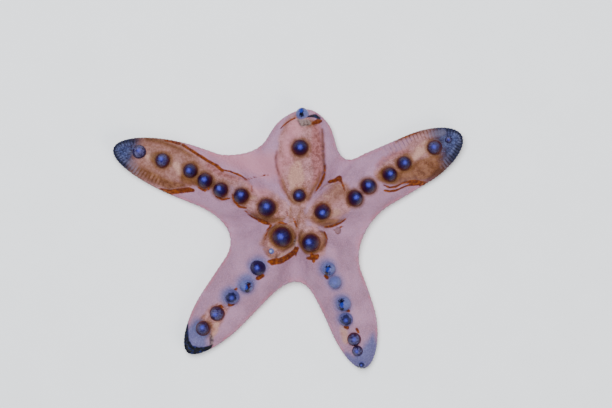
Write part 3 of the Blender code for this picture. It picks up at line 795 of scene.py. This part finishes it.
def paint_skin():
    """Dusty mauve with tan humps, ochre and umber edges, rust creases, a brown collar round each dark
    horn, ribbed navy tips with an inky rim, slate patches and pale plates below."""
    p = Paint("sea_star_skin", Specular_IOR_Level=0.12, Coat_Weight=0.03, Coat_Roughness=0.3)
    lie, rows, gap, plate = p.field("lie"), p.field("rows"), p.field("horn_gap"), p.field("plate")
    cloud, drift = p.noise(0.014, 3), p.noise(0.005, 3, 0.6)
    fine, grit = p.noise(0.0018, 3, 0.6), p.noise(0.0006, 2)
    grain, spots = p.grains(0.0009), p.grains(0.0016)
    ragged = (drift - 0.5) * 3.2 + (fine - 0.5) * 2.4
    seam = plate.step(0.55, 0.1)

    def inside(colour, soft, wander):
        return (p.field(colour) + ragged * wander).step(-soft, soft)

    mauve = p.mix(cloud.step(0.35, 0.65), (170, 138, 156), (184, 154, 172))
    mauve = p.mix(fine.step(0.4, 0.8) * 0.4, mauve, (192, 158, 168))
    mauve = p.mix(grain.step(0.5, 0.15) * 0.25, mauve, (200, 176, 194))
    margin = (lie - 0.66).step(0, 0.4) * drift.step(0.35, 0.6)
    mauve = p.mix(margin * 0.5, mauve, (190, 130, 144))
    mauve = p.mix(p.field("bead") * 0.08, mauve, (214, 190, 204))

    tan = p.mix(cloud.step(0.4, 0.6), (178, 142, 144), (168, 126, 120))
    tan = p.mix(drift.step(0.42, 0.66) * 0.7, tan, (192, 156, 160))
    tan = p.mix(seam * fine.step(0.35, 0.6) * 0.65, tan, (144, 92, 76))
    tan = p.mix((fine * drift).step(0.29, 0.2) * 0.4, tan, (142, 92, 78))
    tan = p.mix(grit.step(0.5, 0.7) * 0.45, tan, (208, 178, 178))
    colour = p.mix(inside("tan", 1.4, 0.7), mauve, tan)
    warm = p.mix(fine.step(0.4, 0.6), (150, 106, 86), (168, 128, 110))
    colour = p.mix(inside("warm", 2.2, 0.9) * 0.7, colour, warm)
    colour = p.mix(inside("blush", 4, 1) * 0.6, colour, (198, 156, 166))
    cream = p.mix(grit.step(0.45, 0.7) * 0.5, (190, 160, 146), (208, 184, 172))
    cream = p.mix(spots.step(0.3, 0.65) * drift.step(0.5, 0.6) * 0.6, cream, (164, 110, 100))
    colour = p.mix(inside("cream", 1.2, 0.5) * 0.85, colour, cream)
    flush = p.mix(fine.step(0.4, 0.6), (142, 86, 82), (178, 124, 124))
    colour = p.mix(inside("flush", 1.6, 0.8) * 0.7, colour, flush)

    ochre = p.mix(drift.step(0.4, 0.62), (122, 76, 34), (152, 107, 66))
    ochre = p.mix(fine.step(0.5, 0.75) * 0.5, ochre, (178, 132, 98))
    ochre = p.mix(seam * 0.5, ochre, (102, 54, 8))
    ochre = p.mix(grit.step(0.5, 0.7) * 0.4, ochre, (104, 60, 20))
    colour = p.mix(inside("ochre", 1.3, 0.6) * 0.85, colour, ochre)
    halo = (gap + ragged * 0.45).step(3.0, 0.3)
    colour = p.mix(halo * 0.7, colour, (134, 90, 48))
    collar = (gap + ragged * 0.3).step(1.0, -0.2)
    colour = p.mix(collar * 0.65, colour, (88, 50, 32))

    umber = p.mix(fine.step(0.4, 0.6), (98, 56, 42), (122, 80, 66))
    colour = p.mix(inside("umber", 0.9, 0.5) * 0.8, colour, umber)

    across = abs(rows.frac() - 0.5)
    ribbed = (lie + (drift - 0.5) * 0.5).step(0.3, 0.6)
    pleat, valley = across.step(0.4, 0.15) * ribbed, across.step(0.3, 0.48) * ribbed
    outer = (p.field("navy") + ragged * 2).step(-21, -5)
    near = (p.field("navy") + ragged).step(-10, -1)
    ribs = (p.field("ribs") + ragged * 1.4).step(-4, 3.5) * (0.5 + drift.step(0.4, 0.6) * 0.5)
    colour = p.mix(outer * (lie + (fine - 0.5) * 0.4).step(0.45, 0.85) * 0.4, colour, (100, 62, 46))
    ridge = p.mix(near, (188, 150, 142), (150, 140, 154))
    colour = p.mix(pleat * ribs * (0.38 + near * 0.3), colour, ridge)
    colour = p.mix(valley * ribs * 0.55, colour, p.mix(near, (102, 60, 40), (84, 64, 68)))

    blue = p.mix(grain.step(0.2, 0.55), (124, 132, 172), (104, 112, 158))
    colour = p.mix((p.field("slate") + ragged * 0.5).step(-3.5, 2.5) * 0.85, colour, blue)
    blurred = p.field("navy") + ragged * 1.5 + (cloud - 0.5) * 10
    dark = p.mix(fine.step(0.35, 0.65), (60, 62, 102), (100, 109, 152))
    dark = p.mix(spots.step(0.45, 0.7) * 0.6, dark, (40, 38, 68))
    dark = p.mix(grit.step(0.55, 0.68) * 0.55, dark, (148, 156, 188))
    dark = p.mix(pleat * fine.step(0.25, 0.5) * (0.2 + ribs * 0.5), dark, (138, 140, 168))
    dark = p.mix(valley * (0.3 + ribs * 0.4), dark, (40, 34, 54))
    dark = p.mix(blurred.step(9, 0) * 0.6, dark, (78, 62, 72))
    rim = (lie + (fine - 0.5) * 0.5 + (drift - 0.5) * 0.3 - ribs * 0.08).step(0.52, 0.8)
    worn = (p.field("worn") + ragged * 0.5).step(-1.5, 1)
    dusk = (p.field("dusk") + ragged * 0.5).step(-1.5, 1)
    rim = (rim * (1 - worn * 0.8)).most(dusk)
    dark = p.mix(worn * 0.6, dark, (136, 128, 146))
    dark = p.mix(rim * 0.88, dark, p.mix(pleat * 0.5, (27, 27, 54), (62, 62, 98)))
    colour = p.mix(blurred.step(-4, 4), colour, dark)

    stain = p.mix(fine.step(0.42, 0.6), (72, 62, 62), (152, 134, 130))
    colour = p.mix(inside("stain", 0.7, 0.5) * 0.85, colour, stain)
    rust = p.mix(fine.step(0.4, 0.7), (118, 58, 0), (164, 94, 12))
    colour = p.mix((p.field("rust") + 0.22 + ragged * 0.22).step(-0.3, 0.25), colour, rust)
    ink = p.mix(fine.step(0.5, 0.66), (24, 20, 44), (52, 60, 120))
    colour = p.mix(inside("ink", 0.5, 0.3), colour, ink)

    below = p.mix(fine.step(0.3, 0.7), (206, 172, 150), (190, 146, 134))
    below = p.mix(grain.step(0.55, 0.25) * 0.4, below, (218, 192, 170))
    below = p.mix(lie.step(3.0, 3.3), below, (196, 146, 118))
    colour = p.mix(lie.step(1.95, 2.2), colour, below)

    normal = p.bump(grain * -1, 0.00012)
    normal = p.bump(grit, 0.00008, normal)
    return p.set(Base_Color=colour, Roughness=0.4 + fine * 0.22, Normal=normal)


skin_paint = paint_skin()
skin, skin_points, skin_faces, skin_fields = build_skin(skin_paint)
skin_normals = vertex_normals(skin_points, skin_faces)
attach(skin, "root")
flesh = [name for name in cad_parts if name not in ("madreporite", "mouth")]
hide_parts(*flesh)
surface = BVHTree.FromPolygons(skin_points.tolist(), skin_faces.tolist())


def top_of(plan):
    """The point and normal of the skin's upper side over a plan point from the disc's centre."""
    above = Vector((plan[0] + CENTRE[0], plan[1] + CENTRE[1], 0.1))
    point, normal, _, _ = surface.ray_cast(above, Vector((0, 0, -1)))
    return point, normal


# ---------------------------------------------------------------- horns

HORN_SIDES, HORN_RINGS = 40, 22
HORN_FOOT = np.array([[0, -0.6], [0.9, -0.6], [0.99, -0.25]])         # radius and height, in radii
HORN_NECK, HORN_ROUND, HORN_BLUNT = 0.985, 1.7, 0.72
HORN_DENT, HORN_TWIST = 0.012, 300           # share of the radius, and radians per metre of height
HEAD_AT = 0.9                # height of the head's middle, in radii


def build_horns(arm, material):
    """One arm's horns: blunt cones with round heads, r = R (1 - t^1.7)^0.72 at height t H, a little
    out of round, on a foot sunk into the skin. In radii, glint is the distance in plan from a place near
    the head's middle and speck the distance from a short line across a pale horn, further to the left
    on the arms that point right."""
    points, faces, start = [], [], 0
    fields = {"rise": [], "pale": [], "glint": [], "speck": []}
    aside = max(direction(arm.heading)[0], 0)
    for owner, number, plan, radius, paleness in HORNS:
        if owner is not arm:
            continue
        rng = np.random.default_rng(number + 17 * len(arm.name))
        base, normal = top_of(plan)
        axis = Vector((0, 0, 1)).lerp(normal, HORN_LEAN).normalized()
        t = np.sin(np.linspace(0, np.pi / 2, HORN_RINGS)) ** 0.9
        tall = HORN_NECK * radius * mix(HORN_LOW, HORN_TALL, min(radius / HORN_LARGE, 1))
        reach = np.concatenate([HORN_FOOT[:, 0], HORN_NECK * (1 - t**HORN_ROUND) ** HORN_BLUNT])[:, None]
        reach[-1] = 0
        height = np.concatenate([HORN_FOOT[:, 1] * radius, tall * t])[:, None]
        angle = np.arange(HORN_SIDES) * 2 * np.pi / HORN_SIDES
        phase = rng.uniform(0, 2 * np.pi, 2)
        dent = (1 + np.sin(3 * angle + phase[0] + height * HORN_TWIST)) * (1 + np.sin(2 * angle + phase[1]))
        own, quads = turned(radius * reach * (1 - HORN_DENT * dent), height, base, axis)
        points.append(own)
        faces.append(quads + start)
        start += len(own)
        place = (own[:, :2] - CENTRE - plan) / radius - HEAD_AT * np.array(axis.xy)
        spot = rng.uniform((-0.18, -0.08), (0.12, 0.2))
        top, bottom = rng.uniform((0.1, 0.3), (0.3, 0.5)), rng.uniform((-0.1, -0.65), (0.2, -0.5))
        top[0] -= aside
        line = bottom - (aside, 0) - top
        share = np.clip((place - top) @ line / (line @ line), 0, 1)
        fields["rise"].append(np.repeat(height / tall, HORN_SIDES))
        fields["pale"].append(np.full(len(own), paleness))
        fields["glint"].append(np.linalg.norm(place - spot, axis=1))
        fields["speck"].append(np.linalg.norm(place - top - share[:, None] * line, axis=1))
    fields = {key: np.concatenate(value) for key, value in fields.items()}
    return mesh_object(f"horns_{arm.name}", np.concatenate(points), np.concatenate(faces), material, fields)


def paint_horn():
    """Deep indigo with a brown foot, turning violet blue up the head as a painted sky reflection, with a
    painted violet-blue highlight and painted light glints in its grains; the frosted ones are flecked
    with grey violet, the ringed ones have a slate foot and a dark crown, and the palest are slate blue,
    lighter at the foot as painted light against the shade of the steep flank, with a ragged streak,
    inky round a painted blue highlight. The palest of all have a painted white highlight on top."""
    p = Paint("horn", Specular_IOR_Level=0.08, Coat_Weight=0.04, Coat_Roughness=0.12)
    rise, pale, glint = p.field("rise"), p.field("pale"), p.field("glint")
    fine, grit, drift = p.noise(0.0012, 3, 0.65), p.grains(0.0006), p.noise(0.003, 2)
    wander = (fine - 0.5) * 0.4 + (drift - 0.5) * 0.3
    ragged = (fine - 0.5) * 1.5 + (p.noise(0.0006, 2) - 0.5) * 0.8
    dry = pale.step(-0.08, -0.02) * pale.step(0.34, 0.28)
    ringed = pale.step(0.35, 0.37)
    foot = p.mix(dry, p.mix(ringed, (70, 60, 96), (132, 128, 170)), (134, 76, 56))
    waist = p.mix(dry, p.mix(ringed, (58, 46, 84), (116, 114, 162)), (80, 42, 62))
    colour = p.mix((rise + wander).step(0.08, 0.42), foot, waist)
    colour = p.mix((rise + wander * (1 + ringed) - ringed * 0.08).step(0.42, 0.74), colour, (52, 34, 76))
    # painted reflection: the head turns violet blue towards the top, standing in for the sky mirrored on the
    # wet horn
    colour = p.mix((rise + wander * 0.6).step(0.66, 0.97), colour, (58, 50, 108))
    colour = p.mix((rise + wander * 2.4).step(0.5, 0.62) * ringed, colour, (30, 26, 74))
    frost = pale.step(0.02, 0.4) * (rise + wander * 2).step(0.3, 0.8) * (1 - ringed * 0.8)
    colour = p.mix(frost * fine.step(0.35, 0.6), colour, (122, 116, 156))
    # painted glints: light blue-violet grains on the upper head
    colour = p.mix(grit.step(0.5, 0.1) * rise.step(0.45, 0.9) * 0.22, colour, (104, 104, 176))
    slate = p.mix(fine.step(0.3, 0.7), (114, 118, 166), (130, 134, 176))
    # painted light: slate horns lighter towards the foot, against the shade on their steep flanks
    slate = p.mix(rise.step(0.5, 0.0), slate, (160, 148, 180))
    colour = p.mix(pale.step(0.4, 0.6), colour, slate)
    # painted highlight: a bright violet-blue spot round the glint place near the head's middle
    painted_highlight = (glint + ragged * 0.26).step(0.4, 0.05) * (1 - pale * 0.75)
    colour = p.mix(painted_highlight * 0.8, colour, (104, 110, 198))
    # painted highlight: a pearly white top on the palest horns
    colour = p.mix(pale.step(1.02, 1.15) * (rise + wander).step(0.7, 1.0) * 0.6, colour, (180, 190, 206))
    streak = (p.field("speck") + ragged * 0.5).step(0.38, 0.25) * pale.step(0.4, 0.5) * pale.step(0.98, 0.9)
    ink = p.mix(drift.step(0.56, 0.66), (28, 22, 54), (84, 44, 24))
    # the streak's middle, round the glint place, is a painted blue highlight
    colour = p.mix(streak, colour, p.mix((glint + ragged * 0.15).step(0.42, 0.3), ink, (56, 70, 166)))
    normal = p.bump(grit * -1, 0.00009)
    normal = p.bump(fine, 0.00012, normal)
    return p.set(Base_Color=colour, Roughness=0.26 + fine * 0.2, Normal=normal)


horn_paint = paint_horn()
for arm in ARMS:
    horns = build_horns(arm, horn_paint)
    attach(horns, "root")

# ---------------------------------------------------------------- sieve plate

SIEVE_FURROWS, SIEVE_CUT, SIEVE_FOOT = 19, 0.075, -0.6      # the cut in radii, the foot in heights


def build_sieve(material):
    """A low dome on the disc: at height H cos(t) its radius is R (sin(t) - d f), where f is 1 along the
    middle of the furrows that wind outwards and 0 between them, and d is their depth."""
    base, normal = top_of(direction(SIEVE_HEADING) * SIEVE_AT)
    t = np.linspace(np.pi / 2, 0, 16)[:, None]
    angle = np.arange(8 * SIEVE_FURROWS) * 2 * np.pi / (8 * SIEVE_FURROWS)
    wind = SIEVE_FURROWS * angle + 2.2 * np.sin(3 * t + 2 * angle)
    furrow = (0.5 + 0.5 * np.cos(wind)) * np.sin(2 * t) ** 0.5
    level = np.zeros((1, len(angle)))
    radius = np.concatenate([level, level + 1, np.sin(t) - SIEVE_CUT * furrow])
    height = np.concatenate([[[SIEVE_FOOT], [SIEVE_FOOT]], np.cos(t)])
    radius[-1] = 0
    points, faces = turned(SIEVE_RADIUS * radius, SIEVE_HEIGHT * height, base, normal)
    fields = {"furrow": np.concatenate([level, level, furrow]).ravel(), "out": radius.ravel()}
    return mesh_object("sieve_plate", points, faces, material, fields)


def paint_sieve():
    """Mauve-tan coral-like plate with brown furrows and an ochre edge."""
    p = Paint("sieve_plate", Specular_IOR_Level=0.12, Coat_Weight=0.03)
    furrow, out, fine = p.field("furrow"), p.field("out"), p.noise(0.0011, 3, 0.6)
    colour = p.mix(fine.step(0.3, 0.7), (156, 122, 136), (168, 134, 142))
    colour = p.mix((furrow + (fine - 0.5) * 0.5).step(0.4, 0.9) * 0.7, colour, (128, 84, 72))
    colour = p.mix((out + (fine - 0.5) * 0.3).step(0.8, 1.0) * 0.6, colour, (132, 88, 66))
    normal = p.bump(p.grains(0.0004) * -1, 0.00006)
    return p.set(Base_Color=colour, Roughness=0.5 + fine * 0.2, Normal=normal)


sieve = build_sieve(paint_sieve())
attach(sieve, "root")
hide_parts("madreporite")

# ---------------------------------------------------------------- granules over the skin

GRANULE = np.array([[0, 0], [0, 1], [0.62, 0.8], [1, 0]])         # share of the height, of the radius
GRANULE_SIDES, GRANULE_RISE, GRANULE_ROOT = 5, 0.34, 0.4
PATCH = 0.003                                                     # size on the map for baking
TRIES, FOOT_CLEAR = 6, 1.02               # random places for each cell; radii kept clear round a horn


def scattered(rng, spacing):
    """Random places on the skin, one in each cell of a cubic lattice: their points, normals and
    fields, mixed bilinearly from the corners of random faces. The place on the unwrap is a corner's."""
    corners = skin_points[skin_faces]
    across = np.cross(corners[:, 2] - corners[:, 0], corners[:, 3] - corners[:, 1])
    area = np.linalg.norm(across, axis=1)
    face = skin_faces[rng.choice(len(area), int(TRIES * area.sum() / 2 / spacing**2), p=area / area.sum())]
    a, b = rng.random((2, len(face)))
    weight = np.stack([(1 - a) * (1 - b), a * (1 - b), a * b, (1 - a) * b], -1)

    def blend(values):
        return np.einsum("ij,ij...->i...", weight, values[face])

    cell = np.floor(blend(skin_points) / spacing).astype(int)
    _, first = np.unique(cell, axis=0, return_index=True)
    face, weight = face[first], weight[first]
    fields = {key: blend(value) for key, value in skin_fields.items()}
    fields |= {key: skin_fields[key][face[:, 0]] for key in UNWRAP}
    return blend(skin_points), blend(skin_normals), fields


def clear_ground(points, lie):
    """True at places that are off the horns' feet and the sieve plate, or below the shoulder."""
    plan = points[:, :2] - CENTRE
    clear = np.linalg.norm(plan - direction(SIEVE_HEADING) * SIEVE_AT, axis=1) > SIEVE_RADIUS
    for _, _, spot, radius, _ in HORNS:
        clear &= np.linalg.norm(plan - spot, axis=1) > radius * FOOT_CLEAR
    return clear | (lie > 1.2)


def build_granules(name, roots, normals, fields, size):
    """Low flat beads on the skin, with the skin's own fields at their roots, kept inside the solids'
    box."""
    up = normals * size[:, None]
    low_end, high_end = roots - up * GRANULE_ROOT, roots + up * GRANULE_RISE
    points, faces = tubes(low_end, high_end, size, GRANULE, GRANULE_SIDES)
    lowest, highest = np.array(cad_box)
    points = np.clip(points, lowest + 0.01 * MM, highest - 0.01 * MM)
    fields = {key: np.repeat(value, len(points) // len(roots)) for key, value in fields.items()}
    fields["bead"] = np.ones(len(points))
    angle = np.arange(GRANULE_SIDES) * 2 * np.pi / GRANULE_SIDES
    circle = np.stack([np.cos(angle), np.sin(angle)], -1)
    patch = np.tile((PATCH / 2 * GRANULE[:, 1, None, None] * circle).reshape(-1, 2), (len(roots), 1))
    centre = np.stack([fields.pop(key) for key in UNWRAP], -1)
    return mesh_object(name, points, faces, skin_paint, fields, bake_map=centre + patch)


for part, low_lie, high_lie, spacing, radius in (
    ("upper", 0.0, 2.0, 0.82 * MM, 0.36 * MM),
    ("under", 2.05, 2.97, 1.05 * MM, 0.46 * MM),
):
    rng = np.random.default_rng(21)
    roots, normals, fields = scattered(rng, spacing)
    size = radius * rng.uniform(0.65, 1.15, len(roots))
    chosen = clear_ground(roots, fields["lie"]) & (fields["lie"] > low_lie) & (fields["lie"] < high_lie)
    owner = np.argmax([(roots[:, :2] - CENTRE) @ direction(arm.heading) for arm in ARMS], axis=0)
    for index, arm in enumerate(ARMS):
        mine = chosen & (owner == index)
        own = {key: value[mine] for key, value in fields.items()}
        granules = build_granules(f"granules_{part}_{arm.name}", roots[mine], normals[mine], own, size[mine])
        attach(granules, "root")

# ---------------------------------------------------------------- underside

FOOT_SIDES, SPINE_SIDES, JAW_SIDES = 7, 6, 20
FOOT = np.array([[0, 0], [0, 1], [0.5, 0.8], [0.84, 0.7], [0.92, 1.6], [1, 1.45], [0.97, 0]])
SPINE = np.array([[0, 0], [0, 1], [0.55, 0.95], [0.9, 0.7], [1, 0]])
JAW = np.array([[0, 0], [0, 0.9], [0.3, 1], [0.6, 0.86], [0.85, 0.6], [0.97, 0.3], [1, 0]])
JAW_HEADINGS = [
    (arm.heading + (after.heading - arm.heading) % 360 / 2) for arm, after in zip(ARMS, ARMS[1:] + ARMS[:1])
]
MEMBRANE = np.array([        # radius and height in mm, and how much of the pleats shows
    [0, 7.6, 0], [5.6, 7.6, 0], [5.9, 6.6, 0], [4.4, 5.8, 1], [2.8, 5.4, 1], [1.5, 5.3, 0.9], [0.8, 5.6, 0.6],
    [0.5, 6.3, 0.2], [0, 6.5, 0],
])
MOUTH_PLEATS, PLEAT_HEIGHT = 22, 0.16
FEET_FROM, FEET_SHORT, FEET_STEP = 8 * MM, 8 * MM, 1.7 * MM
SPINES_FROM, SPINES_SHORT, SPINES_STEP = 7 * MM, 9 * MM, 1.6 * MM


def below(arm, s, offset, height):
    """Points under an arm, at distances along it and across it, at a height over the arm's own floor."""
    plan = middle(arm, s) + offset[:, None] * left_of(direction(arm.heading)) + CENTRE
    return np.column_stack([plan, height + tip_lift(arm, s / arm.reach)])


def tube_piece(name, rows, profile, sides, material):
    """A piece of closed tubes from rows of (starts, ends, radii), with along as the share of the way."""
    start, end, size = (np.concatenate(part) for part in zip(*rows))
    points, faces = tubes(start, end, size, profile, sides)
    along = np.tile(np.repeat(profile[:, 0], sides), len(size))
    return mesh_object(name, points, faces, material, {"along": along})


def build_feet(material):
    """Two rows of tube feet per arm, from the groove's roof down to the floor, with sucker ends."""
    rng = np.random.default_rng(11)
    rows = []
    for arm in ARMS:
        for side in (-1, 1):
            s = np.arange(FEET_FROM, arm.reach - FEET_SHORT, FEET_STEP) + rng.uniform(0, 0.4 * MM)
            half, depth = groove_size(arm, s)
            sway = rng.uniform(-1, 1, (3, len(s)))
            root = below(arm, s, side * 0.42 * half, mix(SOLE_HOLLOW, depth, 0.74) + 0.4 * MM)
            toe = 0.35 * MM + 0.35 * MM * np.abs(sway[2])
            end = below(arm, s + 0.9 * MM * sway[0], side * half * (0.5 + 0.2 * sway[1]), toe)
            rows.append((root, end, 0.19 * np.minimum(half, GROOVE_HALF)))
    return tube_piece("tube_feet", rows, FOOT, FOOT_SIDES, material)


def build_spines(material):
    """A fan of three blunt spines and a stout outer one on each plate beside the grooves, and a comb of
    spines round each jaw."""
    rows = []
    for arm in ARMS:
        s = np.arange(SPINES_FROM, arm.reach - SPINES_SHORT, SPINES_STEP)
        half, _ = groove_size(arm, s)
        small = mix(1.0, 0.6, smooth(s / arm.reach))
        for side in (-1, 1):
            for fan in (-1, 0, 1):
                root = below(arm, s + 0.3 * MM * fan, side * (half + 0.35 * MM), 0 * s + 1.75 * MM)
                inner = side * (half - small * (0.75 - 0.15 * abs(fan)) * MM)
                end = below(arm, s + 0.62 * MM * fan, inner, 1.75 * MM - small * 1.45 * MM)
                rows.append((root, end, 0.24 * MM * small))
            root = below(arm, s + 0.2 * MM, side * (half + 1.35 * MM), 0 * s + 1.7 * MM)
            end = below(arm, s + 0.2 * MM, side * (half + 1.2 * MM), 1.7 * MM - small * 1.3 * MM)
            rows.append((root, end, 0.4 * MM * small))
    for heading in JAW_HEADINGS:
        out, across = direction(heading), left_of(direction(heading))
        fan = np.linspace(-1, 1, 9)[:, None]
        edge = (np.abs(fan) ** 1.5 * 3.6 * MM + 2.0 * MM) * out + fan * 1.15 * MM * across
        tip = edge - 1.3 * MM * (1 - np.abs(fan)) * out + fan * 0.9 * MM * across
        root = np.column_stack([edge + CENTRE, 0 * fan + 2.8 * MM])
        end = np.column_stack([tip + CENTRE, 0 * fan + 1.2 * MM])
        rows.append((root, end, 0 * fan[:, 0] + 0.3 * MM))
    return tube_piece("furrow_spines", rows, SPINE, SPINE_SIDES, material)


def build_mouth(material):
    """Five tapered jaws that point at the centre between the arms, round a pleated membrane whose
    underside z = Z + A cos(22 angle) closes on a small hole."""
    out = np.array([direction(heading) for heading in JAW_HEADINGS])
    start = np.column_stack([out * 8.2 * MM + CENTRE, np.full(5, 3.6 * MM)])
    end = np.column_stack([out * 1.7 * MM + CENTRE, np.full(5, 3.3 * MM)])
    jaws, jaw_faces = tubes(start, end, np.full(5, 1.75 * MM), JAW, JAW_SIDES)
    sides = 6 * MOUTH_PLEATS
    radius, height, shows = MEMBRANE.T[..., None]
    pleat = PLEAT_HEIGHT * shows * np.cos(MOUTH_PLEATS * np.arange(sides) * 2 * np.pi / sides)
    flat = np.repeat(radius * MM, sides, 1)
    membrane, quads = turned(flat, (height + pleat) * MM, (*CENTRE, 0), (0, 0, 1))
    faces = np.concatenate([jaw_faces, quads[:, [0, 3, 2, 1]] + len(jaws)])       # it faces down
    return mesh_object("mouth_jaws", np.concatenate([jaws, membrane]), faces, material)


def paint_spine():
    """Cream spines with a rosy root."""
    p = Paint("spine", Specular_IOR_Level=0.3)
    along, fine = p.field("along"), p.noise(0.0008, 3, 0.6)
    colour = p.mix((along + (fine - 0.5) * 0.4).step(0.1, 0.8), (190, 138, 126), (222, 200, 178))
    return p.set(Base_Color=colour, Roughness=0.45 + fine * 0.2, Normal=p.bump(fine, 0.00008))


def paint_foot():
    """Straw-coloured tube feet with ringed stems and rusty sucker rims."""
    p = Paint("tube_foot", Specular_IOR_Level=0.4, Coat_Weight=0.15, Coat_Roughness=0.2)
    along, fine = p.field("along"), p.noise(0.0007, 2)
    colour = p.mix(fine.step(0.3, 0.7), (204, 170, 130), (188, 150, 112))
    colour = p.mix(abs((along * 22).frac() - 0.5).step(0.25, 0.5) * 0.4, colour, (164, 120, 90))
    colour = p.mix(along.step(0.86, 0.95) * 0.6, colour, (186, 112, 74))
    return p.set(Base_Color=colour, Roughness=0.3 + fine * 0.2, Normal=p.bump(fine, 0.00006))


def paint_mouth():
    """Mottled rosy flesh with pale grains."""
    p = Paint("mouth", Specular_IOR_Level=0.35, Coat_Weight=0.1, Coat_Roughness=0.25)
    fine, grain = p.noise(0.0012, 3, 0.6), p.grains(0.0007)
    colour = p.mix(fine.step(0.3, 0.7), (196, 150, 134), (176, 122, 112))
    colour = p.mix(grain.step(0.5, 0.2) * 0.3, colour, (212, 182, 160))
    return p.set(Base_Color=colour, Roughness=0.4 + fine * 0.2, Normal=p.bump(grain * -1, 0.00012))


feet = build_feet(paint_foot())
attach(feet, "root")
spines = build_spines(paint_spine())
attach(spines, "root")
mouth = build_mouth(paint_mouth())
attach(mouth, "root")
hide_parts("mouth")

# ---------------------------------------------------------------- floor, light and camera

FLOOR_HALF = 3.0
LENS, SENSOR, CAMERA_HEIGHT = 118, 36, 1.2
CAMERA_OFFSET = 0.0105, 0.0205               # from the middle of the solids' box, to frame the animal

floor_paint = Paint("floor", Roughness=0.85)
patches = floor_paint.noise(0.03, 4)
floor_colour = floor_paint.mix(patches.step(0.3, 0.7) * 0.4, [0.93, 0.92, 0.90, 1], [0.88, 0.87, 0.84, 1])
floor_paint.set(Base_Color=floor_colour)
floor_corners = FLOOR_HALF * np.array([[-1, -1, 0], [1, -1, 0], [1, 1, 0], [-1, 1, 0]], float)
floor = mesh_object("floor", floor_corners, np.array([[0, 1, 2, 3]]), floor_paint.material)

world = bpy.data.worlds.new("studio")
bpy.context.scene.world = world
world.use_nodes = True
world.node_tree.nodes["Background"].inputs["Color"].default_value = (0.80, 0.86, 1.0, 1)
world.node_tree.nodes["Background"].inputs["Strength"].default_value = 0.32


def soft_light(name, place, size, power, colour):
    """A round lamp at a place, aimed at the animal."""
    light = bpy.data.lights.new(name, "AREA")
    light.shape = "DISK"
    light.size = size
    light.energy = power
    light.color = colour
    lamp = bpy.data.objects.new(name, light)
    lamp.location = place
    lamp.rotation_euler = (-Vector(place)).to_track_quat("-Z", "Y").to_euler()
    bpy.context.collection.objects.link(lamp)


soft_light("sky_panel", (-0.2, 0.35, 1.6), 1.1, 52, (0.88, 0.93, 1.0))
soft_light("fill_panel", (1.0, -0.9, 1.1), 1.0, 12, (1.0, 0.96, 0.9))

camera = bpy.data.cameras.new("camera")
camera.lens, camera.sensor_width = LENS, SENSOR
viewer = bpy.data.objects.new("camera", camera)
box_middle = np.array(cad_box).mean(0)[:2]
viewer.location = (*(box_middle + CAMERA_OFFSET), CAMERA_HEIGHT)
bpy.context.collection.objects.link(viewer)
bpy.context.scene.camera = viewer
